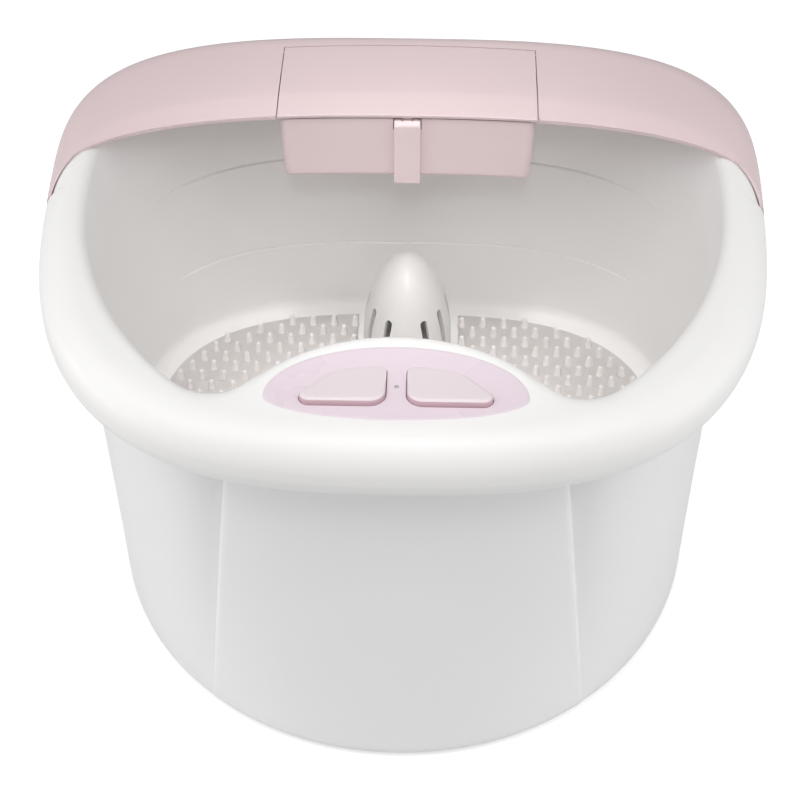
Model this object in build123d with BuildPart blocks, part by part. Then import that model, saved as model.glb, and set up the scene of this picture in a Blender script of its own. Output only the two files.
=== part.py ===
from build123d import *
import os
from math import atan2, cos, degrees, pi, radians, sin, sqrt, tan

# Foot spa basin. Millimetres, +Z up, +Y towards the toe end, X across.
# The origin is on the standing surface, under the middle of the overall box.

os.makedirs("parts", exist_ok=True)

# Rim: a rolled oval collar, widest behind its middle
rim_half_width = 198.0
rim_front = 232.0
rim_back = 136.0
rim_wide_y = 48.0
rim_front_power = 2.78
rim_back_power = 3.1
rim_top = 244.0
rim_bottom = 204.0
rim_roll = 19.0
rim_wall = 3.0
outline_steps = 60

# Tub opening and walls
tub_half_width = 175.0
tub_front = 210.0
tub_back = 142.0
tub_back_power = 2.8
tub_wide_y = 30.0
tub_wall = 2.5
tub_shoulder = 206.0
tub_shoulder_inset = 6.5
floor_top = 60.0
floor_inset = 16.0
floor_wall = 3.0
floor_round = 9.0
mouth_round = 8.0
pocket_round = 24.0
pod_y = -188.0
pod_radius = 95.0

# Outer housing
base_half_width = 166.4
base_front = 193.0
base_back = 143.0
base_front_power = 2.04
base_back_power = 2.8
base_wide_y = 26.5
shoulder_half_width = 175.6
shoulder_front = 189.0
shoulder_back = 147.0
shoulder_front_power = 2.7
shoulder_back_power = 2.9
housing_bottom = 4.0
housing_top = 209.0
housing_wall = 3.0
ledge_reach = 7.0
ledge_thickness = 2.5
flute_x = 112.0
flute_width = 22.0
flute_depth = 5.5

# Splash guard over the toe end
guard_top = 249.0
guard_skirt = 222.0
guard_wall = 3.0
guard_roll = 18.0
guard_front_y = 30.0
guard_bend_y = 95.0
guard_wing_slope = 2.9
arch_half_width = 197.5
arch_depth = 81.0
arch_power = 2.55
arch_y = 16.0
facet_run = 19.0
facet_side_run = 4.0
facet_drop = 3.0

# Accessory box, its lid and latch
lid_half_width = 75.0
lid_rear_half_width = 73.0
lid_rear_y = 163.6
lid_rear_bow = 3.6
lid_gap = 0.5
lid_rear_gap = 1.1
hinge_y = 157.4
hinge_z = 246.8
hinge_barrel_radius = 2.2
hinge_barrel_length = 12.0
hinge_pin_radius = 1.2
hinge_pin_length = 14.0
hinge_pin_bite = 7.0
hinge_boss_reach = 8.0
box_half_width = 73.0
box_draft = 2.5
box_front_setback = 1.6
box_rear_y = 150.0
box_bottom = 202.0
box_top = 242.5
box_wall = 2.0
box_round = 3.0
ear_reach = 11.0
ear_thickness = 2.0
ear_screw_spacing = 30.0
ear_post_radius = 3.5
latch_half_width = 7.5
latch_thickness = 3.3
latch_setback = 2.1
latch_bottom = 199.5
latch_head_bottom = 236.8
latch_head_top = 241.8
latch_head_depth = 6.5
latch_pin_y = 99.2
latch_pin_z = 239.8
latch_pin_radius = 1.2
latch_round = 0.8
latch_bevel = 2.2
lug_half_width = 2.8
lug_half_depth = 2.0
lug_setback = 1.2

# Control pod
panel_y = -144.6
panel_half_width = 66.5
panel_rear = 39.5
panel_front = 17.0
panel_top = 244.8
panel_recess = 1.6
panel_round = 0.7
button_inner_x = 5.2
button_width = 44.3
button_front_y = -151.2
button_depth = 30.2
button_corner = 5.0
button_top = 248.2
button_round = 1.4
button_travel = 1.5
button_wall = 2.0
button_flange = 1.5
plunger_radius = 1.6
plunger_top = 232.0
plunger_length = 12.0
lamp_y = -136.3
lamp_radius = 1.6
lamp_stand = 0.4
lamp_chip = 3.0
board_top = 216.0
board_thickness = 1.6
board_length = 124.0
board_width = 30.0
board_y = -137.0
post_spacing_x = 114.0
post_spacing_y = 16.0
post_radius = 3.0
switch_size = 13.0
switch_height = 10.0

# Dome between the toes, and its seat
dome_y = 102.0
dome_half_width = 26.5
dome_half_length = 35.0
dome_straight = 20.0
dome_rise = 60.0
dome_wall = 2.5
dome_lift = 2.3
dome_slot_width = 4.6
dome_slot_bottom = 70.0
dome_slot_top = 113.0
dome_slot_count = 12
seat_height = 7.0
seal_thickness = 2.0

# Massage mats
mat_margin = 12.0
mat_thickness = 1.6
mat_inner_x = 31.0
nub_radius = 2.1
nub_height = 7.0
nub_taper = 5.0
nub_pitch = 13.0
nub_row = 9.0
air_hole_radius = 0.9
air_hole_pitch = 13.0
air_hole_count = 6

# Base plate, feet and posts
base_gap = 0.4
base_level = 4.4
base_thickness = 2.5
base_post_radius = 4.5
base_post_spacing_x = 236.0
base_post_spacing_y = 125.0
base_post_y = 12.5
foot_radius = 9.0
foot_stud_radius = 2.5
foot_round = 1.2
foot_spacing_x = 200.0
foot_spacing_y = 190.0
foot_y = 20.0
vent_count = 9
vent_pitch = 7.0
vent_width = 3.0
vent_length = 50.0

# Vibration motor
motor_y = -35.0
motor_z = 30.0
motor_radius = 15.0
motor_half_length = 21.0
motor_wall = 1.2
bush_radius = 3.5
bush_length = 4.0
shaft_radius = 1.6
rotor_radius = 11.5
rotor_half_length = 14.0
weight_radius = 11.0
weight_thickness = 8.0
weight_x = 31.0
bracket_width = 16.0
bracket_wall = 2.5
bracket_plate = 3.0
bracket_level = 48.0
bracket_screw_reach = 25.0

# Blower, hose and air channel
blower_y = 45.0
blower_radius = 36.0
blower_bottom = 12.0
blower_height = 34.0
blower_wall = 2.0
blower_inlet_radius = 12.0
blower_post_circle = 30.0
blower_motor_radius = 11.0
blower_motor_height = 14.0
impeller_radius = 31.0
impeller_level = 16.0
impeller_height = 10.0
impeller_blades = 8
port_radius = 6.0
port_wall = 1.2
port_z = 30.0
port_reach = 46.0
hose_wall = 1.5
hose_grip = 8.0
hose_bend = 14.0
hose_x = 72.0
channel_half_length = 112.0
channel_width = 14.0
channel_depth = 5.0
channel_wall = 1.5

# Heater and lead inlet
heater_x = 77.0
heater_y = -22.0
heater_length = 54.0
heater_width = 60.0
heater_thickness = 3.0
heater_round = 4.0
thermostat_radius = 8.0
thermostat_height = 8.0
bushing_z = 32.0
bushing_radius = 6.5
bushing_flange_radius = 9.5
bushing_flange = 2.4
bushing_bore = 3.5
bushing_length = 12.0
bushing_stand = 3.2

# Fasteners and fits
screw_radius = 1.6
screw_head_radius = 3.2
screw_head_height = 2.0
small_screw_radius = 1.1
small_screw_head_radius = 2.2
small_screw_head_height = 1.4
spin_clearance = 0.05
gap = 0.4


def oval_points(half_width, front, back, front_power, back_power, wide_y, inset=0.0):
    """Points round an oval, each moved inwards along its normal by the inset; they start at the front."""
    points = []
    for step in range(outline_steps):
        turn = 2 * pi * step / outline_steps - pi / 2
        depth = back if sin(turn) > 0 else front
        power = back_power if sin(turn) > 0 else front_power
        across = abs(cos(turn)) / half_width
        along = abs(sin(turn)) / depth
        reach = (across**power + along**power) ** (-1 / power)
        normal_x = (across * reach) ** (power - 1) / half_width
        normal_y = (along * reach) ** (power - 1) / depth
        size = sqrt(normal_x**2 + normal_y**2)
        side_x = 1 if cos(turn) > 0 else -1
        side_y = 1 if sin(turn) > 0 else -1
        x = reach * cos(turn) - inset * side_x * normal_x / size
        y = reach * sin(turn) - inset * side_y * normal_y / size
        points.append((x, wide_y + y))
    return points


def rim_points(inset):
    return oval_points(
        rim_half_width, rim_front, rim_back, rim_front_power, rim_back_power, rim_wide_y, inset
    )


def base_points(inset):
    return oval_points(
        base_half_width, base_front, base_back, base_front_power, base_back_power, base_wide_y, inset
    )


def shoulder_points(inset, depth):
    """The housing's top outline, with a soft flute of the given depth at each side of its front wall."""
    points = oval_points(
        shoulder_half_width,
        shoulder_front,
        shoulder_back,
        shoulder_front_power,
        shoulder_back_power,
        base_wide_y,
        inset,
    )
    fluted = []
    for x, y in points:
        pull = depth * sin(pi / 2 * max(0, 1 - abs(abs(x) - flute_x) / flute_width)) if y < 0 else 0
        fluted.append((x, y + pull))
    return fluted


def outline_face(points, level):
    with BuildSketch(Plane.XY.offset(level)) as face:
        with BuildLine():
            Spline(points, periodic=True)
        make_face()
    return face.sketch


def tub_face(level, inset):
    """The opening of the tub at a level: half an ellipse in front, squarer behind, less the round pod."""
    half_width = tub_half_width - inset
    back = tub_back - inset
    behind = []
    for step in range(1, 16):
        turn = pi * step / 16
        reach = (abs(cos(turn) / half_width) ** tub_back_power + (sin(turn) / back) ** tub_back_power) ** (
            -1 / tub_back_power
        )
        behind.append((reach * cos(turn), tub_wide_y + reach * sin(turn)))
    right = (half_width, tub_wide_y)
    left = (-half_width, tub_wide_y)
    with BuildSketch(Plane.XY.offset(level)) as face:
        with BuildLine():
            EllipticalCenterArc((0, tub_wide_y), half_width, tub_front - inset, start_angle=180, arc_size=180)
            Spline([right, *behind, left], tangents=[(0, 1), (0, -1)])
        make_face()
        with Locations((0, pod_y)):
            Circle(pod_radius + inset, mode=Mode.SUBTRACT)
        fillet(face.vertices().sort_by(Axis.Y)[:2], pocket_round)
    return face.sketch


def arch_points(margin, side_run, run):
    """The hood's front edge seen from above, moved back by the run at its middle."""
    half_width = arch_half_width + side_run - margin
    depth = arch_depth + run - margin
    points = []
    for step in range(25):
        turn = pi * step / 24
        reach = (abs(cos(turn) / half_width) ** arch_power + (sin(turn) / depth) ** arch_power) ** (
            -1 / arch_power
        )
        points.append((reach * cos(turn), arch_y + reach * sin(turn)))
    return points


def arch_face(level, margin=0.0, side_run=0.0, run=0.0):
    """All that lies in front of the hood's front edge."""
    points = arch_points(margin, side_run, run)
    start = points[0]
    end = points[-1]
    front = -rim_front
    with BuildSketch(Plane.XY.offset(level)) as face:
        with BuildLine():
            Spline(points)
            Polyline(end, (end[0], front), (start[0], front), start)
        make_face()
    return face.sketch


def rolled_block(inset):
    """The rim's collar as a solid block, smaller all round by the inset."""
    with BuildPart() as block:
        height = rim_top - rim_bottom - 2 * inset
        extrude(outline_face(rim_points(inset), rim_bottom + inset), amount=height)
        ends = block.faces().filter_by(Axis.Z)
        fillet(ends.edges(), rim_roll - inset)
    return block.part


def guard_block(inset, front_y):
    """The hood as a solid block, smaller by the inset at its outside and top, bent down at its wings."""
    top = guard_top - inset
    bend = Plane((0, guard_bend_y, top), x_dir=(1, 0, 0), z_dir=(0, -tan(radians(guard_wing_slope)), 1))
    with BuildPart() as block:
        with BuildSketch(Plane.XY.offset(guard_skirt)):
            add(outline_face(rim_points(inset), 0))
            with Locations((0, front_y)):
                Rectangle(4 * rim_half_width, 4 * rim_back, align=(Align.CENTER, Align.MIN), mode=Mode.INTERSECT)
        extrude(amount=top - guard_skirt)
        top_edges = block.faces().sort_by(Axis.Z)[-1].edges()
        fillet(top_edges.sort_by(SortBy.LENGTH)[-1], guard_roll - inset)
        split(bisect_by=bend, keep=Keep.BOTTOM)
        loft(
            [
                arch_face(top, side_run=facet_side_run, run=facet_run),
                arch_face(top - facet_drop),
            ],
            ruled=True,
            mode=Mode.SUBTRACT,
        )
    return block.part


def guard_shell():
    """The hood's skin, before the lid's notch is cut."""
    with BuildPart() as shell:
        add(guard_block(0.0, guard_front_y))
        add(guard_block(guard_wall, -rim_front), mode=Mode.SUBTRACT)
        extrude(arch_face(guard_skirt - 1), amount=2 * (guard_top - guard_skirt), mode=Mode.SUBTRACT)
    return shell.part


def tub_block(grow, top, bottom_grow):
    """The tub's opening as a solid, larger all round by grow, with its floor lower by bottom_grow."""
    floor = floor_top - bottom_grow
    corner = floor_round * (1 - sqrt(0.5))
    sections = [
        tub_face(top, -grow),
        tub_face(tub_shoulder, tub_shoulder_inset - grow),
        tub_face(floor + floor_round, floor_inset - grow),
        tub_face(floor + corner, floor_inset + corner - grow),
        tub_face(floor, floor_inset + floor_round - grow),
    ]
    with BuildPart() as block:
        loft(sections, ruled=True)
    return block.part


def tub_cavity():
    """The space inside the tub, flared at its mouth."""
    with BuildPart() as cavity:
        add(tub_block(0.0, rim_top, 0.0))
        with Locations((0, 0, rim_top)):
            Box(4 * rim_half_width, 4 * rim_half_width, rim_roll, align=(Align.CENTER, Align.CENTER, Align.MIN))
        level = cavity.edges().filter_by_position(Axis.Z, rim_top - 0.01, rim_top + 0.01)
        mouth = [edge for edge in level if edge.bounding_box().max.X - edge.bounding_box().min.X < rim_half_width * 2
                 and abs(edge.center().Y) < rim_front]
        fillet(mouth, mouth_round)
    return cavity.part


def housing_block(inset):
    """The housing as a solid block, smaller all round by the inset."""
    base = outline_face(base_points(inset), housing_bottom)
    shoulder = outline_face(shoulder_points(inset, flute_depth), housing_top)
    with BuildPart() as block:
        loft([base, shoulder], ruled=True)
    return block.part


def guard_recess():
    """What the rim gives up so that the hood lies flush over it."""
    with BuildPart() as recess:
        with BuildSketch(Plane.XY.offset(guard_skirt - gap)):
            add(outline_face(rim_points(-2 * guard_wall), 0))
            with Locations((0, guard_front_y - gap)):
                Rectangle(4 * rim_half_width, 4 * rim_back, align=(Align.CENTER, Align.MIN), mode=Mode.INTERSECT)
        extrude(amount=guard_top - guard_skirt + gap)
        add(guard_block(guard_wall + gap, -rim_front), mode=Mode.SUBTRACT)
        extrude(arch_face(guard_skirt - 1, margin=gap), amount=2 * (guard_top - guard_skirt), mode=Mode.SUBTRACT)
    return recess.part


def front_hollow():
    """The rim's deeper hollow in front of the hood."""
    with BuildPart() as hollow:
        add(rolled_block(rim_wall))
        split(bisect_by=Plane.XZ.offset(-guard_front_y / 2), keep=Keep.TOP)
    return hollow.part


hood_skin = guard_shell()
floor_bottom = floor_top - floor_wall
base_top = base_level + base_thickness
hollow_top = rim_top - rim_wall


def lid_face(level, grow, rear_grow):
    """The lid seen from above: straight sides that draw in to a bowed rear edge."""
    half_front = lid_half_width + grow
    half_rear = lid_rear_half_width + grow
    corner_y = lid_rear_y - lid_rear_bow + rear_grow
    with BuildSketch(Plane.XY.offset(level)) as face:
        with BuildLine():
            ThreePointArc((half_rear, corner_y), (0, lid_rear_y + rear_grow), (-half_rear, corner_y))
            Polyline((-half_rear, corner_y), (-half_front, 0), (half_front, 0), (half_rear, corner_y))
        make_face()
    return face.sketch


def panel_face(level, grow=0.0):
    with BuildSketch(Plane.XY.offset(level)) as face:
        with BuildLine():
            half_width = panel_half_width + grow
            EllipticalCenterArc((0, panel_y), half_width, panel_rear + grow, start_angle=0, arc_size=180)
            EllipticalCenterArc((0, panel_y), half_width, panel_front + grow, start_angle=180, arc_size=180)
        make_face()
    return face.sketch


def button_face(side, level, grow=0.0):
    """A button seen from above: square beside the lamp, sloping away to follow the panel's edge."""
    inner = button_inner_x
    outer = button_inner_x + button_width
    front = button_front_y
    rear = button_front_y + button_depth
    corners = [
        (inner, front),
        (outer - 0.08 * button_width, front),
        (outer, front + 0.19 * button_depth),
        (outer - 0.35 * button_width, rear - 0.25 * button_depth),
        (outer - 0.62 * button_width, rear - 0.04 * button_depth),
        (inner, rear),
    ]
    with BuildSketch(Plane.XY.offset(level)) as face:
        with BuildLine():
            Polyline([(side * x, y) for x, y in corners], close=True)
        make_face()
        fillet(face.vertices(), button_corner)
        offset(amount=grow)
    return face.sketch


def rod(plane, spots, radius, length, bore=0.0):
    """One or more straight rods or tubes that start on a plane."""
    with BuildPart() as rods:
        with BuildSketch(plane):
            with Locations(*spots):
                Circle(radius)
                if bore:
                    Circle(bore, mode=Mode.SUBTRACT)
        extrude(amount=length)
    return rods.part


def backwards(y):
    """A plane across the back, facing +Y, with its own upward axis along +Z."""
    return Plane((0, y, 0), x_dir=(-1, 0, 0), z_dir=(0, 1, 0))


def screws(spots, head_level, length, radius, head_radius, head_height):
    """Screws driven upwards: the heads end at the head level."""
    with BuildPart() as group:
        add(rod(Plane.XY.offset(head_level - head_height), spots, head_radius, head_height))
        add(rod(Plane.XY.offset(head_level), spots, radius, length))
    return group.part


def grid(centre_x, centre_y, spacing_x, spacing_y):
    spots = []
    for x in (centre_x - spacing_x / 2, centre_x + spacing_x / 2):
        for y in (centre_y - spacing_y / 2, centre_y + spacing_y / 2):
            spots.append((x, y))
    return spots


def dome_block(grow, level):
    """An upright half-egg on a short straight foot."""
    half_width = dome_half_width + grow
    half_length = dome_half_length + grow
    rise = dome_rise + grow
    shoulder = floor_top + dome_straight
    with BuildPart() as egg:
        Sphere(rise)
        scale(by=(half_width / rise, half_length / rise, 1))
        split(bisect_by=Plane.XY, keep=Keep.TOP)
    with BuildPart() as block:
        with BuildSketch(Plane.XY.offset(level)):
            with Locations((0, dome_y)):
                Ellipse(half_width, half_length)
        extrude(amount=shoulder - level)
        add(Pos(0, dome_y, shoulder) * egg.part)
    return block.part


def on_floor(x, y, margin):
    """Whether a spot lies on the tub's flat floor, at least the margin from its edge."""
    inset = floor_inset + floor_round + margin
    half_width = tub_half_width - inset
    across = abs(x) / half_width
    along = (y - tub_wide_y) / (tub_back - inset) if y > tub_wide_y else (tub_wide_y - y) / (tub_front - inset)
    power = tub_back_power if y > tub_wide_y else 2
    clear_of_pod = sqrt(x**2 + (y - pod_y) ** 2) > pod_radius + inset
    return across**power + along**power < 1 and clear_of_pod


small_screw = (small_screw_radius, small_screw_head_radius, small_screw_head_height)
flange_level = hollow_top - button_flange - gap
button_x = button_inner_x + button_width / 2
button_y = button_front_y + button_depth / 2
board_posts = grid(0, board_y, post_spacing_x, post_spacing_y)
base_posts = grid(0, base_post_y, base_post_spacing_x, base_post_spacing_y)
bracket_posts = [(0, motor_y - bracket_screw_reach), (0, motor_y + bracket_screw_reach)]
blower_posts = [
    (blower_post_circle * cos(radians(turn)), blower_y + blower_post_circle * sin(radians(turn)))
    for turn in (90, 210, 330)
]
blower_top = blower_bottom + blower_height
air_holes = []
for step in range(air_hole_count):
    x = mat_inner_x + mat_margin + step * air_hole_pitch
    air_holes.extend([(x, blower_y), (-x, blower_y)])

# The tub with its rolled rim and control pod
with BuildPart() as basin:
    add(rolled_block(0.0))
    add(guard_recess(), mode=Mode.SUBTRACT)
    add(rolled_block(2 * rim_wall + gap), mode=Mode.SUBTRACT)
    add(front_hollow(), mode=Mode.SUBTRACT)
    slot_bottom = rim_bottom - gap
    extrude(outline_face(shoulder_points(-gap, 0), slot_bottom), amount=housing_top + gap - slot_bottom,
            mode=Mode.SUBTRACT)
    add(tub_block(tub_wall, hollow_top, floor_wall))
    add(tub_cavity(), mode=Mode.SUBTRACT)
    # the pod's recess, its openings and the posts that carry the board
    extrude(panel_face(rim_top - panel_recess, gap), amount=panel_recess, mode=Mode.SUBTRACT)
    for side in (-1, 1):
        extrude(button_face(side, hollow_top, gap), amount=rim_wall, mode=Mode.SUBTRACT)
    add(rod(Plane.XY.offset(hollow_top), [(0, lamp_y)], lamp_radius, rim_wall), mode=Mode.SUBTRACT)
    add(rod(Plane.XY.offset(board_top), board_posts, post_radius, hollow_top - board_top + 0.5, small_screw_radius))
    # posts under the floor
    add(rod(Plane.XY.offset(base_top), base_posts, base_post_radius, floor_bottom - base_top, screw_radius))
    bracket_top = bracket_level + bracket_plate
    add(rod(Plane.XY.offset(bracket_top), bracket_posts, base_post_radius, floor_bottom - bracket_top, screw_radius))
    add(rod(Plane.XY.offset(blower_top), blower_posts, base_post_radius, floor_bottom - blower_top, screw_radius))
    # the dome's seat and the air holes
    with BuildSketch(Plane.XY.offset(floor_top)):
        with Locations((0, dome_y)):
            Ellipse(dome_half_width - dome_wall - gap, dome_half_length - dome_wall - gap)
            Ellipse(dome_half_width - 3 * dome_wall, dome_half_length - 3 * dome_wall, mode=Mode.SUBTRACT)
    extrude(amount=seat_height)
    add(rod(Plane.XY.offset(floor_bottom), air_holes, air_hole_radius, floor_wall), mode=Mode.SUBTRACT)

# The outer housing, open below and above, with a ledge over the base plate and the lead's hole behind
with BuildPart() as outer_housing:
    add(housing_block(0.0))
    add(housing_block(housing_wall), mode=Mode.SUBTRACT)
    extrude(outline_face(base_points(housing_wall / 2), base_top), amount=ledge_thickness)
    ledge_inner = outline_face(base_points(housing_wall + ledge_reach), base_top)
    extrude(ledge_inner, amount=ledge_thickness, mode=Mode.SUBTRACT)
    add(rod(backwards(base_wide_y), [(0, bushing_z)], bushing_radius, 2 * base_back), mode=Mode.SUBTRACT)

boss_start = lid_rear_half_width + lid_gap
pin_end = lid_rear_half_width - hinge_pin_bite + hinge_pin_length
hinge_spot = [(hinge_y, hinge_z)]
ear_y = (box_rear_y + arch_y + arch_depth) / 2
ear_screws = grid(0, ear_y, 2 * box_half_width + ear_reach, ear_screw_spacing)
ear_level = box_top - ear_thickness
lid_edge_bottom = guard_top - facet_drop - guard_wall
latch_front = arch_y + arch_depth - latch_setback
latch_spot = [(latch_pin_y, latch_pin_z)]

# The hood, with the notch that the lid closes and the posts that carry the box
with BuildPart() as splash_guard:
    add(hood_skin)
    extrude(lid_face(guard_skirt, lid_gap, lid_rear_gap), amount=guard_top - guard_skirt + 1, mode=Mode.SUBTRACT)
    for side in (-1, 1):
        with Locations((side * (boss_start + hinge_boss_reach / 2), hinge_y, guard_top - guard_wall - gap)):
            Box(hinge_boss_reach, 3 * hinge_barrel_radius, 4 * hinge_pin_radius)
    add(rod(Plane.XY.offset(box_top), ear_screws, ear_post_radius, guard_top - guard_wall / 2 - box_top))
    add(rod(Plane.XY.offset(box_top), ear_screws, small_screw_radius, guard_wall), mode=Mode.SUBTRACT)
    add(rod(Plane.YZ.offset(-pin_end), hinge_spot, hinge_pin_radius, 2 * pin_end), mode=Mode.SUBTRACT)

# The lid, cut from the same skin, with a barrel at each rear corner and a lug for the latch
with BuildPart() as box_lid:
    add(hood_skin)
    extrude(lid_face(guard_skirt, 0, 0), amount=guard_top - guard_skirt + 1, mode=Mode.INTERSECT)
    for start in (-lid_rear_half_width, lid_rear_half_width - hinge_barrel_length):
        add(rod(Plane.YZ.offset(start), hinge_spot, hinge_barrel_radius, hinge_barrel_length))
    add(rod(Plane.YZ.offset(-lug_half_width), [(latch_pin_y, latch_pin_z)], lug_half_depth, 2 * lug_half_width))
    with Locations((0, latch_pin_y + lug_half_depth, latch_pin_z)):
        stem_height = lid_edge_bottom - latch_pin_z + guard_wall / 2
        stem_depth = 2 * lug_half_depth - lug_setback
        Box(2 * lug_half_width, stem_depth, stem_height, align=(Align.CENTER, Align.MAX, Align.MIN))
    pin_bore = hinge_pin_radius + spin_clearance
    bore_end = lid_rear_half_width - hinge_pin_bite - gap
    bore_length = lid_half_width - bore_end
    add(rod(Plane.YZ.offset(-lid_half_width), hinge_spot, pin_bore, bore_length), mode=Mode.SUBTRACT)
    add(rod(Plane.YZ.offset(bore_end), hinge_spot, pin_bore, bore_length), mode=Mode.SUBTRACT)
    latch_pin_start = Plane.YZ.offset(-latch_half_width)
    add(rod(latch_pin_start, latch_spot, latch_pin_radius, 2 * latch_half_width), mode=Mode.SUBTRACT)

# The two side pins that the lid turns on
with BuildPart() as lid_hinge_pins:
    for start in (-pin_end, pin_end - hinge_pin_length):
        add(rod(Plane.YZ.offset(start), hinge_spot, hinge_pin_radius, hinge_pin_length))


def tray_face(level, half_width, rear_y):
    with BuildSketch(Plane.XY.offset(level)) as face:
        with Locations((0, rear_y)):
            Rectangle(2 * half_width, rear_y, align=(Align.CENTER, Align.MAX))
    return face.sketch


def tray_block(inset, top):
    """The compartment as a solid: drawn in towards its bottom, its front bowed like the hood's edge."""
    rear_y = box_rear_y - inset
    half_width = box_half_width - inset
    bottom = tray_face(box_bottom + inset, half_width - box_draft, rear_y)
    with BuildPart() as tray:
        loft([bottom, tray_face(top, half_width, rear_y)], ruled=True)
        extrude(arch_face(box_bottom, run=box_front_setback + inset), amount=rim_top, mode=Mode.SUBTRACT)
        uprights = [edge for edge in tray.edges() if edge.bounding_box().size.Z > (top - box_bottom) / 2]
        fillet(uprights, box_round)
    return tray.part


# The compartment, open above, with an ear at each side for its screws
with BuildPart() as accessory_box:
    add(tray_block(0.0, box_top))
    with Locations((0, ear_y, ear_level)):
        ear_length = ear_screw_spacing + 3 * ear_post_radius
        span = 2 * (box_half_width + ear_reach)
        Box(span, ear_length, ear_thickness, align=(Align.CENTER, Align.CENTER, Align.MIN))
    add(tray_block(box_wall, box_top + gap), mode=Mode.SUBTRACT)
    add(rod(Plane.XY.offset(ear_level), ear_screws, small_screw_radius, ear_thickness), mode=Mode.SUBTRACT)
    with Locations((0, latch_pin_y, latch_head_bottom - 3 * gap)):
        notch_width = 2 * (latch_half_width + gap)
        Box(notch_width, 3 * latch_head_depth, rim_top, align=(Align.CENTER, Align.CENTER, Align.MIN),
            mode=Mode.SUBTRACT)

with BuildPart() as box_screws:
    add(screws(ear_screws, ear_level, ear_thickness + guard_wall, *small_screw))

# The tongue in front of the compartment, and its pin
with BuildPart() as box_latch:
    with BuildSketch(Plane.YZ.offset(-latch_half_width)):
        with BuildLine():
            Polyline(
                (latch_front, latch_bottom),
                (latch_front + latch_thickness, latch_bottom),
                (latch_front + latch_thickness, latch_head_bottom),
                (latch_front + latch_head_depth, latch_head_bottom),
                (latch_front + latch_head_depth, latch_head_top),
                (latch_front + latch_bevel, latch_head_top),
                (latch_front, latch_head_top - latch_bevel),
                close=True,
            )
        make_face()
    extrude(amount=2 * latch_half_width)
    with Locations((0, latch_pin_y, latch_pin_z)):
        Box(2 * (lug_half_width + gap), 2 * (lug_half_depth + gap), 4 * latch_head_depth, mode=Mode.SUBTRACT)
    bore = latch_pin_radius + spin_clearance
    add(rod(latch_pin_start, latch_spot, bore, 2 * latch_half_width), mode=Mode.SUBTRACT)
    fronts = box_latch.faces().sort_by(Axis.Y)[0].edges()
    fillet(fronts, latch_round)

with BuildPart() as latch_pin:
    add(rod(latch_pin_start, latch_spot, latch_pin_radius, 2 * latch_half_width))

# The fascia, its two buttons and the lamp between them
with BuildPart() as control_panel:
    extrude(panel_face(rim_top - panel_recess), amount=panel_top - rim_top + panel_recess)
    fillet(control_panel.faces().sort_by(Axis.Z)[-1].edges(), panel_round)
    for side in (-1, 1):
        extrude(button_face(side, rim_top - panel_recess, gap), amount=2 * panel_recess, mode=Mode.SUBTRACT)
    add(rod(Plane.XY.offset(rim_top - panel_recess), [(0, lamp_y)], lamp_radius, 2 * panel_recess),
        mode=Mode.SUBTRACT)


def button(side):
    """A hollow cap with a flange that keeps it in, and a post that meets the plunger."""
    with BuildPart() as cap:
        extrude(button_face(side, flange_level), amount=button_top - flange_level)
        fillet(cap.faces().sort_by(Axis.Z)[-1].edges(), button_round)
        extrude(button_face(side, flange_level, button_flange), amount=button_flange)
        hollow_height = button_top - button_wall - flange_level
        extrude(button_face(side, flange_level, -button_wall), amount=hollow_height, mode=Mode.SUBTRACT)
        add(rod(Plane.XY.offset(plunger_top), [(side * button_x, button_y)], 2 * plunger_radius,
                button_top - button_wall / 2 - plunger_top))
    return cap.part


def switch(side):
    with BuildPart() as block:
        with Locations((side * button_x, button_y, board_top)):
            Box(switch_size, switch_size, switch_height, align=(Align.CENTER, Align.CENTER, Align.MIN))
        bore_bottom = plunger_top - plunger_length - button_travel - gap
        bore = plunger_radius + spin_clearance
        add(rod(Plane.XY.offset(bore_bottom), [(side * button_x, button_y)], bore, plunger_length),
            mode=Mode.SUBTRACT)
    return block.part


def plunger(side):
    return rod(Plane.XY.offset(plunger_top - plunger_length), [(side * button_x, button_y)], plunger_radius,
               plunger_length)


with BuildPart() as bubble_heat_button:
    add(button(-1))
with BuildPart() as vibration_button:
    add(button(1))
with BuildPart() as bubble_heat_plunger:
    add(plunger(-1))
with BuildPart() as vibration_plunger:
    add(plunger(1))
with BuildPart() as bubble_heat_switch:
    add(switch(-1))
with BuildPart() as vibration_switch:
    add(switch(1))

with BuildPart() as indicator_light:
    lamp_bottom = board_top + lamp_chip
    add(rod(Plane.XY.offset(lamp_bottom), [(0, lamp_y)], lamp_radius, panel_top + lamp_stand - lamp_bottom))
    fillet(indicator_light.faces().sort_by(Axis.Z)[-1].edges(), lamp_stand)

with BuildPart() as control_board:
    with Locations((0, board_y, board_top)):
        Box(board_length, board_width, board_thickness, align=(Align.CENTER, Align.CENTER, Align.MAX))
    board_bottom = board_top - board_thickness
    add(rod(Plane.XY.offset(board_bottom), board_posts, small_screw_radius, board_thickness), mode=Mode.SUBTRACT)
    with Locations((0, lamp_y, board_top)):
        Cylinder(lamp_radius, lamp_chip, align=(Align.CENTER, Align.CENTER, Align.MIN))

with BuildPart() as board_screws:
    add(screws(board_posts, board_bottom, 4 * board_thickness, *small_screw))

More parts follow.
